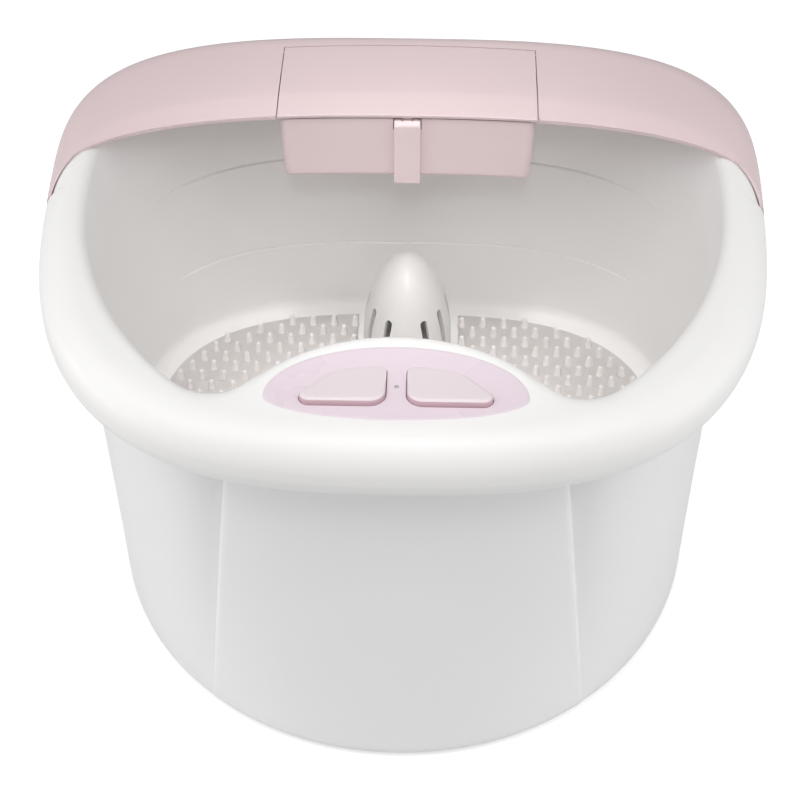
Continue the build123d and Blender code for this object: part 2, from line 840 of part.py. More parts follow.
# The slotted dome that lifts off its seat, and the seal under it
dome_bottom = floor_top + dome_lift
with BuildPart() as slotted_dome:
    add(dome_block(0.0, dome_bottom))
    add(dome_block(-dome_wall, dome_bottom), mode=Mode.SUBTRACT)
    slot_height = dome_slot_top - dome_slot_bottom
    slot_z = (dome_slot_top + dome_slot_bottom) / 2
    for step in range(1, dome_slot_count):
        turn = 2 * pi * step / dome_slot_count
        if 2 * step == dome_slot_count:
            continue
        x = dome_half_width * sin(turn)
        y = dome_y - dome_half_length * cos(turn)
        heading = degrees(atan2(-cos(turn) / dome_half_length, sin(turn) / dome_half_width))
        with Locations(Location((x, y, slot_z), (0, 0, heading))):
            Box(6 * dome_wall, dome_slot_width, slot_height, mode=Mode.SUBTRACT)

with BuildPart() as dome_seal:
    with BuildSketch(Plane.XY.offset(floor_top)):
        with Locations((0, dome_y)):
            Ellipse(dome_half_width, dome_half_length)
            Ellipse(dome_half_width - dome_wall - gap, dome_half_length - dome_wall - gap, mode=Mode.SUBTRACT)
    extrude(amount=seal_thickness)


def mat(side):
    """One foot's field of massage nubs on a thin plate, clear of the walls and the dome."""
    level = floor_top + mat_thickness
    nubs = []
    rows = int((tub_front + tub_back) / nub_row)
    columns = int(tub_half_width / nub_pitch) + 1
    for row in range(rows):
        y = tub_wide_y - tub_front + row * nub_row
        for column in range(columns):
            x = mat_inner_x + nub_pitch * (column + 0.5 - 0.5 * (row % 2)) + nub_radius
            if on_floor(x, y, mat_margin / 2 + nub_radius):
                nubs.append((side * x, y))
    with BuildPart() as plate:
        with BuildSketch(Plane.XY.offset(floor_top)):
            add(tub_face(0, floor_inset + floor_round + mat_margin / 2))
            with Locations((side * (mat_inner_x + tub_half_width), 0)):
                Rectangle(2 * tub_half_width, 4 * tub_front, mode=Mode.INTERSECT)
        extrude(amount=mat_thickness)
        add(rod(Plane.XY.offset(floor_top), air_holes, air_hole_radius, mat_thickness), mode=Mode.SUBTRACT)
        with BuildSketch(Plane.XY.offset(level)):
            with Locations(*nubs):
                Circle(nub_radius)
        extrude(amount=nub_height, taper=nub_taper)
    return plate.part


with BuildPart() as massage_mat_left:
    add(mat(-1))
with BuildPart() as massage_mat_right:
    add(mat(1))

# Base plate with its vents, the feet and the screws
feet_spots = grid(0, foot_y, foot_spacing_x, foot_spacing_y)
with BuildPart() as base_plate:
    extrude(outline_face(base_points(housing_wall + base_gap), base_level), amount=base_thickness)
    add(rod(Plane.XY.offset(base_level), base_posts, screw_radius, base_thickness), mode=Mode.SUBTRACT)
    add(rod(Plane.XY.offset(base_level), feet_spots, foot_stud_radius, base_thickness), mode=Mode.SUBTRACT)
    with BuildSketch(Plane.XY.offset(base_level)):
        with Locations((0, blower_y)):
            with GridLocations(vent_pitch, vent_length, vent_count, 1):
                SlotOverall(vent_length, vent_width, rotation=90)
    extrude(amount=base_thickness, mode=Mode.SUBTRACT)

with BuildPart() as rubber_feet:
    add(rod(Plane.XY, feet_spots, foot_radius, base_level))
    fillet(rubber_feet.faces().sort_by(Axis.Z)[:4].edges(), foot_round)
    add(rod(Plane.XY.offset(base_level), feet_spots, foot_stud_radius, base_thickness))

with BuildPart() as base_screws:
    add(screws(base_posts, base_level, 5 * base_thickness, screw_radius, screw_head_radius, screw_head_height))

# Vibration motor: can, bushes, rotor on its shaft, eccentric weight, bracket
motor_spot = [(motor_y, motor_z)]
with BuildPart() as motor_can:
    add(rod(Plane.YZ.offset(-motor_half_length), motor_spot, motor_radius, 2 * motor_half_length, bush_radius))
    inner_half = motor_half_length - bush_length
    add(rod(Plane.YZ.offset(-inner_half), motor_spot, motor_radius - motor_wall, 2 * inner_half),
        mode=Mode.SUBTRACT)

shaft_bore = shaft_radius + spin_clearance
with BuildPart() as motor_bushes:
    for start in (-motor_half_length, inner_half):
        add(rod(Plane.YZ.offset(start), motor_spot, bush_radius, bush_length, shaft_bore))

with BuildPart() as motor_rotor:
    add(rod(Plane.YZ.offset(-rotor_half_length), motor_spot, rotor_radius, 2 * rotor_half_length))
    shaft_end = weight_x + weight_thickness / 2
    add(rod(Plane.YZ.offset(-motor_half_length), motor_spot, shaft_radius, motor_half_length + shaft_end))

with BuildPart() as eccentric_weight:
    with BuildSketch(Plane.YZ.offset(weight_x - weight_thickness / 2)):
        with Locations(*motor_spot):
            Circle(weight_radius)
        with Locations((motor_y, motor_z)):
            Rectangle(2 * weight_radius, weight_radius, align=(Align.CENTER, Align.MIN), mode=Mode.SUBTRACT)
            Circle(2 * shaft_radius)
            Circle(shaft_radius, mode=Mode.SUBTRACT)
    extrude(amount=weight_thickness)

with BuildPart() as motor_bracket:
    with BuildSketch(Plane.YZ.offset(-bracket_width / 2)):
        with Locations((motor_y, motor_z)):
            Circle(motor_radius + bracket_wall)
            web_height = bracket_level - motor_z
            Rectangle(motor_radius, web_height, align=(Align.CENTER, Align.MIN))
            Circle(motor_radius, mode=Mode.SUBTRACT)
        with Locations((motor_y, bracket_level)):
            plate_length = 2 * (bracket_screw_reach + base_post_radius)
            Rectangle(plate_length, bracket_plate, align=(Align.CENTER, Align.MIN))
    extrude(amount=bracket_width)
    add(rod(Plane.XY.offset(bracket_level), bracket_posts, screw_radius, bracket_plate), mode=Mode.SUBTRACT)

with BuildPart() as bracket_screws:
    add(screws(bracket_posts, bracket_level, 2 * bracket_plate, screw_radius, screw_head_radius, screw_head_height))

# Blower: volute with its port, motor, impeller
blower_spot = [(0, blower_y)]
blower_inner_bottom = blower_bottom + blower_wall
port_spot = [(blower_y, port_z)]
with BuildPart() as blower_housing:
    add(rod(Plane.XY.offset(blower_bottom), blower_spot, blower_radius, blower_height))
    add(rod(Plane.YZ, port_spot, port_radius, port_reach))
    add(rod(Plane.XY.offset(blower_inner_bottom), blower_spot, blower_radius - blower_wall,
            blower_height - 2 * blower_wall), mode=Mode.SUBTRACT)
    add(rod(Plane.XY.offset(blower_bottom), blower_spot, blower_inlet_radius, blower_wall), mode=Mode.SUBTRACT)
    add(rod(Plane.YZ, port_spot, port_radius - port_wall, port_reach), mode=Mode.SUBTRACT)
    add(rod(Plane.XY.offset(blower_top - blower_wall), blower_posts, screw_radius, blower_wall), mode=Mode.SUBTRACT)

with BuildPart() as blower_screws:
    add(screws(blower_posts, blower_top - blower_wall, 3 * blower_wall, screw_radius, small_screw_head_radius,
               small_screw_head_height))

blower_motor_bottom = blower_top - blower_wall - blower_motor_height
with BuildPart() as blower_motor:
    add(rod(Plane.XY.offset(blower_motor_bottom), blower_spot, blower_motor_radius, blower_motor_height, shaft_bore))

with BuildPart() as blower_impeller:
    add(rod(Plane.XY.offset(impeller_level), blower_spot, impeller_radius, blower_wall))
    blade_start = impeller_radius / 3
    blade_length = impeller_radius - blade_start
    with Locations((0, blower_y, impeller_level + blower_wall)):
        with PolarLocations(blade_start + blade_length / 2, impeller_blades):
            Box(blade_length, motor_wall, impeller_height - blower_wall, align=(Align.CENTER, Align.CENTER, Align.MIN))
    add(rod(Plane.XY.offset(impeller_level), blower_spot, 3 * shaft_radius, impeller_height))
    add(rod(Plane.XY.offset(impeller_level), blower_spot, shaft_radius, impeller_height), mode=Mode.SUBTRACT)

with BuildPart() as blower_shaft:
    shaft_top = blower_top - blower_wall - gap
    add(rod(Plane.XY.offset(impeller_level), blower_spot, shaft_radius, shaft_top - impeller_level))

# Hose up to the trough under the floor that feeds the air holes
channel_bottom = floor_bottom - channel_depth
with BuildPart() as air_hose:
    hose_start = port_reach - hose_grip
    with BuildLine() as route:
        FilletPolyline(
            (hose_start, blower_y, port_z),
            (hose_x, blower_y, port_z),
            (hose_x, blower_y, channel_bottom),
            radius=hose_bend,
        )
    with BuildSketch(Plane.YZ.offset(hose_start)):
        with Locations((blower_y, port_z)):
            Circle(port_radius + hose_wall)
            Circle(port_radius, mode=Mode.SUBTRACT)
    sweep(path=route.wires()[0])

with BuildPart() as air_channel:
    with Locations((0, blower_y, channel_bottom)):
        Box(2 * channel_half_length, channel_width, channel_depth, align=(Align.CENTER, Align.CENTER, Align.MIN))
    with Locations((0, blower_y, channel_bottom + channel_wall)):
        inner_length = 2 * (channel_half_length - channel_wall)
        inner_width = channel_width - 2 * channel_wall
        Box(inner_length, inner_width, channel_depth, align=(Align.CENTER, Align.CENTER, Align.MIN),
            mode=Mode.SUBTRACT)
    add(rod(Plane.XY.offset(channel_bottom), [(hose_x, blower_y)], inner_width / 2, channel_wall), mode=Mode.SUBTRACT)

# Heating plate with its thermostat, both against the floor's underside
with BuildPart() as heater_plate:
    with Locations((heater_x, heater_y, floor_bottom)):
        Box(heater_length, heater_width, heater_thickness, align=(Align.CENTER, Align.CENTER, Align.MAX))
    fillet(heater_plate.edges().filter_by(Axis.Z), heater_round)

with BuildPart() as thermostat:
    heater_bottom = floor_bottom - heater_thickness
    add(rod(Plane.XY.offset(heater_bottom - thermostat_height), [(heater_x, heater_y)], thermostat_radius,
            thermostat_height))

# The lead's bushing, through the housing's back wall
with BuildPart() as cord_bushing:
    outside = base_wide_y + base_back + bushing_stand
    add(rod(backwards(outside - bushing_flange), [(0, bushing_z)], bushing_flange_radius, bushing_flange))
    add(rod(backwards(outside - bushing_length), [(0, bushing_z)], bushing_radius, bushing_length))
    add(rod(backwards(outside - bushing_length), [(0, bushing_z)], bushing_bore, bushing_length), mode=Mode.SUBTRACT)

pieces = {
    "basin": basin,
    "outer_housing": outer_housing,
    "splash_guard": splash_guard,
    "box_lid": box_lid,
    "lid_hinge_pins": lid_hinge_pins,
    "accessory_box": accessory_box,
    "box_screws": box_screws,
    "box_latch": box_latch,
    "latch_pin": latch_pin,
    "control_panel": control_panel,
    "bubble_heat_button": bubble_heat_button,
    "vibration_button": vibration_button,
    "bubble_heat_plunger": bubble_heat_plunger,
    "vibration_plunger": vibration_plunger,
    "bubble_heat_switch": bubble_heat_switch,
    "vibration_switch": vibration_switch,
    "indicator_light": indicator_light,
    "control_board": control_board,
    "board_screws": board_screws,
    "slotted_dome": slotted_dome,
    "dome_seal": dome_seal,
    "massage_mat_left": massage_mat_left,
    "massage_mat_right": massage_mat_right,
    "base_plate": base_plate,
    "rubber_feet": rubber_feet,
    "base_screws": base_screws,
    "motor_can": motor_can,
    "motor_bushes": motor_bushes,
    "motor_rotor": motor_rotor,
    "eccentric_weight": eccentric_weight,
    "motor_bracket": motor_bracket,
    "bracket_screws": bracket_screws,
    "blower_housing": blower_housing,
    "blower_screws": blower_screws,
    "blower_motor": blower_motor,
    "blower_impeller": blower_impeller,
    "blower_shaft": blower_shaft,
    "air_hose": air_hose,
    "air_channel": air_channel,
    "heater_plate": heater_plate,
    "thermostat": thermostat,
    "cord_bushing": cord_bushing,
}
for name, piece in pieces.items():
    piece.part.label = name
    export_step(piece.part, f"parts/{name}.step")
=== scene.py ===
"""The foot spa basin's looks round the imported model, in millimetres until a mesh is made."""

from math import acos, cos, hypot, pi, radians, sin, tan

import bmesh
import bpy
import numpy as np
from mathutils import Matrix, Vector


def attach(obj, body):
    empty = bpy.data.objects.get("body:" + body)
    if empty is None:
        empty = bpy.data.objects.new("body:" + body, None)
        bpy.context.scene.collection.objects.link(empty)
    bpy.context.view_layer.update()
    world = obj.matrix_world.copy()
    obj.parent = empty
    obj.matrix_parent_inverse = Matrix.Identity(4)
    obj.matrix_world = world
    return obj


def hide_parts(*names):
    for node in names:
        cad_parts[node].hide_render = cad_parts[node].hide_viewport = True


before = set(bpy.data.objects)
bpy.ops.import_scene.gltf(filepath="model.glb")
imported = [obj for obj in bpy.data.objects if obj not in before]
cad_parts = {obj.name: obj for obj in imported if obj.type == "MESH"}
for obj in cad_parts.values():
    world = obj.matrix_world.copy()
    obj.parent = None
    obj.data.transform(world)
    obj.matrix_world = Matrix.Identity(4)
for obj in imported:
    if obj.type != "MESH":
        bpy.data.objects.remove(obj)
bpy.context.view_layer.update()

SCENE = bpy.context.scene
MM = 0.001
TAU = 2 * pi
QUARTER = pi / 2

# Outlines, as in the part: half width, front depth, back depth, their powers, and the widest Y
RIM = (198.0, 232.0, 136.0, 2.78, 3.1, 48.0)
BASE = (166.4, 193.0, 143.0, 2.04, 2.8, 26.5)
SHOULDER = (175.6, 189.0, 147.0, 2.7, 2.9, 26.5)
RIM_TOP = 244.0
RIM_BOTTOM = 204.0
RIM_ROLL = 19.0
RIM_WALL = 3.0
HOOD_REBATE = 1.9
MOUTH_ROUND = 8.0

TUB_HALF_WIDTH = 175.0
TUB_FRONT = 210.0
TUB_BACK = 142.0
TUB_BACK_POWER = 2.8
TUB_WIDE_Y = 30.0
TUB_WALL = 2.5
TUB_SHOULDER = 206.0
TUB_SHOULDER_INSET = 6.5
FLOOR_TOP = 60.0
FLOOR_INSET = 16.0
FLOOR_ROUND = 9.0
FLOOR_WALL = 3.0
POCKET_ROUND = 24.0
POD_Y = -188.0
POD_RADIUS = 95.0
HUB = np.array((0.0, 40.0))
SPOKES = 420

HOUSING_BOTTOM = 4.0
HOUSING_TOP = 209.0
HOUSING_WALL = 3.0

GUARD_TOP = 249.0
GUARD_SKIRT = 222.0
GUARD_ROLL = 18.0
GUARD_WALL = 2.4
GUARD_EDGE_WALL = 1.3
GUARD_THIN_RUN = 26
GUARD_FRONT_Y = 30.0
GUARD_BEND_Y = 95.0
GUARD_WING_SLOPE = 2.9
ARCH_HALF_WIDTH = 197.5
ARCH_DEPTH = 81.0
ARCH_POWER = 2.55
ARCH_Y = 16.0
FACET_RUN = 19.0
FACET_SIDE_RUN = 4.0
FACET_DROP = 3.0

LID_FRONT_HALF = 75.0
LID_REAR_HALF = 73.0
LID_REAR_Y = 163.6
LID_REAR_BOW = 3.6
LID_GAP = 0.5
LID_REAR_GAP = 0.6


# ---- curves

def oval(turn, shape, inset=0.0):
    """Points round an oval at these turns from +X, moved inwards along its normal by the inset."""
    half_width, front, back, front_power, back_power, wide_y = shape
    behind = np.sin(turn) > 0
    depth = np.where(behind, back, front)
    power = np.where(behind, back_power, front_power)
    across = np.abs(np.cos(turn)) / half_width
    along = np.abs(np.sin(turn)) / depth
    reach = (across**power + along**power) ** (-1 / power)
    normal_x = (across * reach) ** (power - 1) / half_width * np.sign(np.cos(turn))
    normal_y = (along * reach) ** (power - 1) / depth * np.sign(np.sin(turn))
    size = np.hypot(normal_x, normal_y)
    x = reach * np.cos(turn) - inset * normal_x / size
    y = reach * np.sin(turn) - inset * normal_y / size
    return np.stack([x, wide_y + y], -1)


def tub_outline(inset):
    """The tub's opening: elliptic in front, squarer behind, less the round pod."""
    half_width, front, back = TUB_HALF_WIDTH - inset, TUB_FRONT - inset, TUB_BACK - inset
    pod = np.array((0.0, POD_Y))
    radius = POD_RADIUS + inset
    turn = np.linspace(0, QUARTER, 600)
    ellipse = np.stack([half_width * np.cos(turn), TUB_WIDE_Y - front * np.sin(turn)], -1)
    low, high = 0.2, 1.3
    for _ in range(40):
        swing = (low + high) / 2
        centre = pod + (radius + POCKET_ROUND) * np.array((sin(swing), cos(swing)))
        away = np.hypot(*(ellipse - centre).T)
        if away.min() > POCKET_ROUND:
            low = swing
        else:
            high = swing
    nearest = int(away.argmin())
    start = ellipse[nearest] - centre
    end = pod - centre
    start_turn = np.arctan2(start[1], start[0])
    end_turn = np.arctan2(end[1], end[0])
    pocket_turn = np.linspace(start_turn, end_turn, 60)
    pocket = centre + POCKET_ROUND * np.stack([np.cos(pocket_turn), np.sin(pocket_turn)], -1)
    bulge_turn = np.linspace(swing, 0, 200)
    bulge = pod + radius * np.stack([np.sin(bulge_turn), np.cos(bulge_turn)], -1)
    rear_turn = np.linspace(QUARTER, 0, 500)
    rear = oval(rear_turn, (half_width, front, back, 2.0, TUB_BACK_POWER, TUB_WIDE_Y))
    right = np.concatenate([rear, ellipse[1:nearest], pocket[1:], bulge[1:]])
    left = right[-2:0:-1] * (-1, 1)
    return np.concatenate([right, left])


def spokes_of(outline):
    """Each point's angle about the hub and its distance, in order of angle."""
    offset = outline - HUB
    angle = np.arctan2(offset[:, 1], offset[:, 0]) % TAU
    order = np.argsort(angle)
    return angle[order], np.hypot(*offset.T)[order]


def at_spokes(outline, angle):
    """Where an outline crosses the spokes at these angles."""
    known, distance = spokes_of(outline)
    reach = np.interp(angle, known, distance, period=TAU)
    return HUB + reach[:, None] * np.stack([np.cos(angle), np.sin(angle)], -1)


def even(line, count, closed=False):
    """The line resampled at even distances."""
    if closed:
        line = np.concatenate([line, line[:1]])
    along = np.concatenate([[0], np.cumsum(np.hypot(*np.diff(line, axis=0).T))])
    spots = np.linspace(0, along[-1], count + 1 if closed else count)[:count]
    return np.stack([np.interp(spots, along, line[:, k]) for k in (0, 1)], -1)


def rounded(corners, radii, steps=10):
    """A closed polygon with rounded corners, of one radius or one each."""
    line = []
    corners = [np.array(c, float) for c in corners]
    radii = np.broadcast_to(radii, len(corners))
    neighbours = zip(corners[-1:] + corners[:-1], corners, corners[1:] + corners[:1], radii)
    for before, here, after, radius in neighbours:
        to_before = (before - here) / np.linalg.norm(before - here)
        to_after = (after - here) / np.linalg.norm(after - here)
        half = acos(float(np.clip(to_before @ to_after, -1, 1))) / 2
        reach = radius / tan(half)
        towards = to_before + to_after
        middle = here + towards / np.linalg.norm(towards) * radius / sin(half)
        first = here + to_before * reach - middle
        last = here + to_after * reach - middle
        sweep = pi - 2 * half
        for step in range(steps + 1):
            share = step / steps
            swung = sin((1 - share) * sweep) * first + sin(share * sweep) * last
            line.append(middle + swung / sin(sweep))
    return np.array(line)


def inward(line, inset):
    """A closed line moved inwards along its normals; the line runs anticlockwise."""
    ahead = np.roll(line, -1, 0) - np.roll(line, 1, 0)
    normal = np.stack([-ahead[:, 1], ahead[:, 0]], -1) / np.hypot(*ahead.T)[:, None]
    return line + inset * normal


def unit_circle(count):
    turn = np.linspace(0, TAU, count, endpoint=False)
    return np.stack([np.cos(turn), np.sin(turn)], -1)


def smooth_step(value, low, high):
    share = np.clip((value - low) / (high - low), 0, 1)
    return share * share * (3 - 2 * share)


def with_z(line, z):
    return np.column_stack([line, np.broadcast_to(z, len(line))])


# ---- meshes

def mesh_object(name, points, faces):
    """An object from points in millimetres, shaded smooth."""
    mesh = bpy.data.meshes.new(name)
    places = (np.asarray(points, float) * MM).tolist()
    mesh.from_pydata(places, [], [list(map(int, face)) for face in faces])
    mesh.shade_smooth()
    piece = bpy.data.objects.new(name, mesh)
    SCENE.collection.objects.link(piece)
    return piece


def ring_faces(rings, count, closed_profile=False, first_cap=False, last_cap=False):
    """Quads between rings of points that each run once round."""
    faces = []
    for ring in range(rings if closed_profile else rings - 1):
        low, high = ring * count, (ring + 1) % rings * count
        for k in range(count):
            after = (k + 1) % count
            faces.append((low + k, low + after, high + after, high + k))
    if first_cap:
        faces.append(tuple(range(count - 1, -1, -1)))
    if last_cap:
        faces.append(tuple((rings - 1) * count + k for k in range(count)))
    return faces


def rings_object(name, rings, closed_profile=False, first_cap=False, last_cap=False):
    count = len(rings[0])
    faces = ring_faces(len(rings), count, closed_profile, first_cap, last_cap)
    return mesh_object(name, np.concatenate(rings), faces)


def grid_faces(columns, rows):
    """Quads of a grid whose points run row by row inside each column."""
    firsts = [column * rows + row for column in range(columns - 1) for row in range(rows - 1)]
    return [(first, first + rows, first + rows + 1, first + 1) for first in firsts]


def outward(piece):
    """Turns the faces of a closed mesh outwards."""
    shape = bmesh.new()
    shape.from_mesh(piece.data)
    bmesh.ops.recalc_face_normals(shape, faces=shape.faces)
    shape.to_mesh(piece.data)
    shape.free()
    return piece


def apply_all(piece):
    """Replaces the piece's mesh by what its modifiers make of it."""
    graph = bpy.context.evaluated_depsgraph_get()
    made = bpy.data.meshes.new_from_object(piece.evaluated_get(graph))
    piece.modifiers.clear()
    piece.data = made
    return piece


def cut(piece, *cutters):
    """Takes the cutters out of the piece and removes them."""
    for cutter in cutters:
        step = piece.modifiers.new("cut", "BOOLEAN")
        step.operation = "DIFFERENCE"
        step.object = cutter
        step.solver = "EXACT"
        bpy.context.view_layer.update()
        apply_all(piece)
        bpy.data.objects.remove(cutter)
    return piece


def crisp(piece, angle=35):
    """Shades the piece smooth except across its sharp edges."""
    piece.data.shade_smooth()
    piece.data.set_sharp_from_angle(angle=radians(angle))
    weigh = piece.modifiers.new("weigh", "WEIGHTED_NORMAL")
    weigh.keep_sharp = True
    return apply_all(piece)


def soften(piece, width, segments, angle):
    """Rounds the piece's sharp edges, and shades it smooth between them."""
    step = piece.modifiers.new("soften", "BEVEL")
    step.width = width * MM
    step.segments = segments
    step.limit_method = "ANGLE"
    step.angle_limit = radians(angle)
    apply_all(piece)
    return crisp(piece)


def capped(name, rings):
    """A closed solid through rings, with a flat cap on each end."""
    return outward(rings_object(name, rings, first_cap=True, last_cap=True))


def prism(name, line, low, high):
    """An upright prism over a closed line."""
    return capped(name, [with_z(line, low), with_z(line, high)])


def across_x(line, x):
    """A closed line drawn in Y and Z, placed at an X."""
    return np.column_stack([np.full(len(line), x), line])


def rod(name, start, run, radius):
    """A round bar with softened ends from a start along a run."""
    run = np.array(run, float)
    ahead = run / np.linalg.norm(run)
    aside = np.cross(ahead, (0.0, 1.0, 0.0) if abs(ahead[1]) < 0.9 else (1.0, 0.0, 0.0))
    aside /= np.linalg.norm(aside)
    turn = np.linspace(0, TAU, 32, endpoint=False)[:, None]
    circle = np.cos(turn) * aside + np.sin(turn) * np.cross(ahead, aside)
    soft = min(0.3, radius / 4)
    stops = [(0.0, soft), (soft, 0.0)]
    rings = [start + ahead * along + circle * (radius - inset) for along, inset in stops]
    for along, inset in stops[::-1]:
        rings.append(start + run - ahead * along + circle * (radius - inset))
    return crisp(capped(name, rings))


def join(name, pieces):
    """One object from several."""
    shape = bmesh.new()
    for piece in pieces:
        shape.from_mesh(piece.data)
    whole = bpy.data.meshes.new(name)
    shape.to_mesh(whole)
    shape.free()
    for piece in pieces:
        bpy.data.objects.remove(piece)
    joined = bpy.data.objects.new(name, whole)
    SCENE.collection.objects.link(joined)
    return joined


# ---- materials

CLOUD_RANGE = (0.2, 0.8)


def add_node(nodes, kind, **values):
    """A new shader node with these inputs set, their names written with underscores."""
    node = nodes.new("ShaderNode" + kind)
    for key, value in values.items():
        node.inputs[key.replace("_", " ")].default_value = value
    return node


def plastic(name, colour, roughness, grain=900.0, bump=0.02, tint=0.03, coat=0.0, mottle=14.0):
    """Moulded plastic: faint mottling in colour and gloss over a fine moulding grain."""
    material = bpy.data.materials.new(name)
    material.use_nodes = True
    nodes, links = material.node_tree.nodes, material.node_tree.links
    shader = nodes["Principled BSDF"]
    place = nodes.new("ShaderNodeTexCoord")
    cloud = add_node(nodes, "TexNoise", Scale=mottle, Detail=3.0)
    links.new(place.outputs["Object"], cloud.inputs["Vector"])
    ramp = nodes.new("ShaderNodeValToRGB")
    first, last = ramp.color_ramp.elements
    first.position, last.position = CLOUD_RANGE
    first.color = (*[c * (1 - tint) for c in colour], 1)
    last.color = (*[min(1.0, c * (1 + tint / 2)) for c in colour], 1)
    links.new(cloud.outputs["Fac"], ramp.inputs["Fac"])
    links.new(ramp.outputs["Color"], shader.inputs["Base Color"])
    low, high = CLOUD_RANGE
    gloss = add_node(nodes, "MapRange", From_Min=low, From_Max=high,
                     To_Min=roughness * 0.9, To_Max=roughness * 1.1)
    links.new(cloud.outputs["Fac"], gloss.inputs["Value"])
    links.new(gloss.outputs["Result"], shader.inputs["Roughness"])
    fine = add_node(nodes, "TexNoise", Scale=grain, Detail=2.0)
    links.new(place.outputs["Object"], fine.inputs["Vector"])
    relief = add_node(nodes, "Bump", Strength=bump, Distance=0.0004)
    links.new(fine.outputs["Fac"], relief.inputs["Height"])
    links.new(relief.outputs["Normal"], shader.inputs["Normal"])
    shader.inputs["Coat Weight"].default_value = coat
    shader.inputs["Coat Roughness"].default_value = 0.12
    return material


def metal(name, colour, roughness):
    """Machined or rolled metal with fine streaks."""
    material = plastic(name, colour, roughness, grain=500.0, bump=0.08, tint=0.08, mottle=60.0)
    material.node_tree.nodes["Principled BSDF"].inputs["Metallic"].default_value = 1.0
    return material


def srgb(red, green, blue):
    """A colour written as it is seen, as the linear values that a shader takes."""
    seen = [c / 255 for c in (red, green, blue)]
    return [c / 12.92 if c <= 0.04045 else ((c + 0.055) / 1.055) ** 2.4 for c in seen]


WHITE_SHELL = plastic("white_shell", srgb(250, 249, 248), 0.42, coat=0.04, tint=0.008)
ROSE_SHELL = plastic("rose_shell", srgb(231, 210, 212), 0.30, coat=0.2, tint=0.02)
ROSE_BOX = plastic("rose_box", srgb(234, 214, 215), 0.34, tint=0.025)
ROSE_TONGUE = plastic("rose_tongue", srgb(238, 218, 220), 0.32, tint=0.02)
FASCIA = plastic("fascia", srgb(235, 220, 229), 0.28, coat=0.15, tint=0.004)
# Darker pink for the buttons' steep side faces: painted shade for sides that face away from the
# light above
BUTTON_SHADED_SIDE = plastic("button_side_shade", srgb(208, 176, 186), 0.42, tint=0.015)
BUTTON = plastic("button", srgb(236, 224, 228), 0.36, coat=0.05, tint=0.015)
HOUSING_WHITE = plastic("housing_white", srgb(248, 248, 249), 0.40, coat=0.04, tint=0.008)
MAT_WHITE = plastic("mat_white", srgb(248, 244, 242), 0.5, tint=0.01, mottle=40.0)
DOME_WHITE = plastic("dome_white", srgb(226, 224, 222), 0.36, coat=0.08, tint=0.008)
LAMP = plastic("lamp", srgb(184, 178, 186), 0.2, coat=0.4)
GREY_PLASTIC = plastic("grey_plastic", srgb(214, 214, 214), 0.55, grain=2200.0, bump=0.3)
BLACK_PLASTIC = plastic("black_plastic", srgb(42, 42, 44), 0.5, grain=1800.0, bump=0.25)
PALE_PLASTIC = plastic("pale_plastic", srgb(222, 221, 217), 0.5, bump=0.15)
BOARD = plastic("board", srgb(34, 110, 66), 0.35, coat=0.5, tint=0.12, mottle=120.0)
BLACK_RUBBER = plastic("black_rubber", srgb(38, 38, 38), 0.75, grain=1400.0, bump=0.4)
MILKY_RUBBER = plastic("milky_rubber", srgb(218, 216, 208), 0.5, bump=0.1)
STEEL = metal("steel", srgb(190, 190, 192), 0.32)
ZINC = metal("zinc", srgb(200, 202, 196), 0.42)
BRONZE = metal("bronze", srgb(190, 150, 96), 0.45)
HEATER = metal("heater", srgb(198, 198, 200), 0.38)
CARRIED_OVER = {
    GREY_PLASTIC: ["base_plate"],
    BLACK_PLASTIC: ["bubble_heat_switch", "vibration_switch", "blower_housing",
                    "bubble_heat_plunger", "vibration_plunger"],
    PALE_PLASTIC: ["blower_impeller", "air_channel"],
    BOARD: ["control_board"],
    BLACK_RUBBER: ["rubber_feet", "cord_bushing"],
    MILKY_RUBBER: ["air_hose", "dome_seal"],
    STEEL: ["lid_hinge_pins", "latch_pin", "box_screws", "board_screws", "base_screws",
            "bracket_screws", "blower_screws", "motor_rotor", "blower_shaft", "motor_can",
            "blower_motor", "thermostat"],
    ZINC: ["motor_bracket", "eccentric_weight"],
    BRONZE: ["motor_bushes"],
    HEATER: ["heater_plate"],
}


def dress(piece, material):
    """Gives a piece this one material."""
    piece.data.materials.clear()
    piece.data.materials.append(material)
    return piece


def finish_piece(piece, material, slot, body, *nodes):
    """Gives a piece its material and its body, and hides the nodes that it stands for; the slot is
    not used.
    """
    dress(piece, material)
    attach(piece, body)
    if nodes:
        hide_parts(*nodes)
    return piece


# ---- camera, light and stage

def look(name, eye, target, data):
    """A camera or lamp placed at the eye that faces the target."""
    spot = bpy.data.objects.new(name, data)
    SCENE.collection.objects.link(spot)
    spot.location = eye
    spot.rotation_euler = (Vector(target) - Vector(eye)).to_track_quat("-Z", "Y").to_euler()
    return spot


CAMERA_DISTANCE = 1500.0
CAMERA_ELEVATION = 41.0
CAMERA_TARGET = (0.0, -3.5, 120.0)
CAMERA_LENS = 118.76
CAMERA_SHIFT = -0.00375
CAMERA_YAW = 1.4

camera_data = bpy.data.cameras.new("camera")
camera_data.lens = CAMERA_LENS
camera_data.sensor_width = 36.0
camera_data.shift_x = CAMERA_SHIFT
lean = radians(CAMERA_ELEVATION)
yaw = radians(CAMERA_YAW)
back = Vector((cos(lean) * sin(yaw), -cos(lean) * cos(yaw), sin(lean)))
target = Vector(CAMERA_TARGET)
SCENE.camera = look("camera", (target + back * CAMERA_DISTANCE) * MM, target * MM, camera_data)
SCENE.view_settings.view_transform = "Standard"


MIDDLE = (0, 0, 0.12)


def lamp(name, eye, size, power):
    """A rectangular lamp at the eye that looks at the part's middle, in metres and watts."""
    data = bpy.data.lights.new(name, "AREA")
    data.shape = "RECTANGLE"
    data.size, data.size_y = size
    data.energy = power
    look(name, eye, MIDDLE, data)


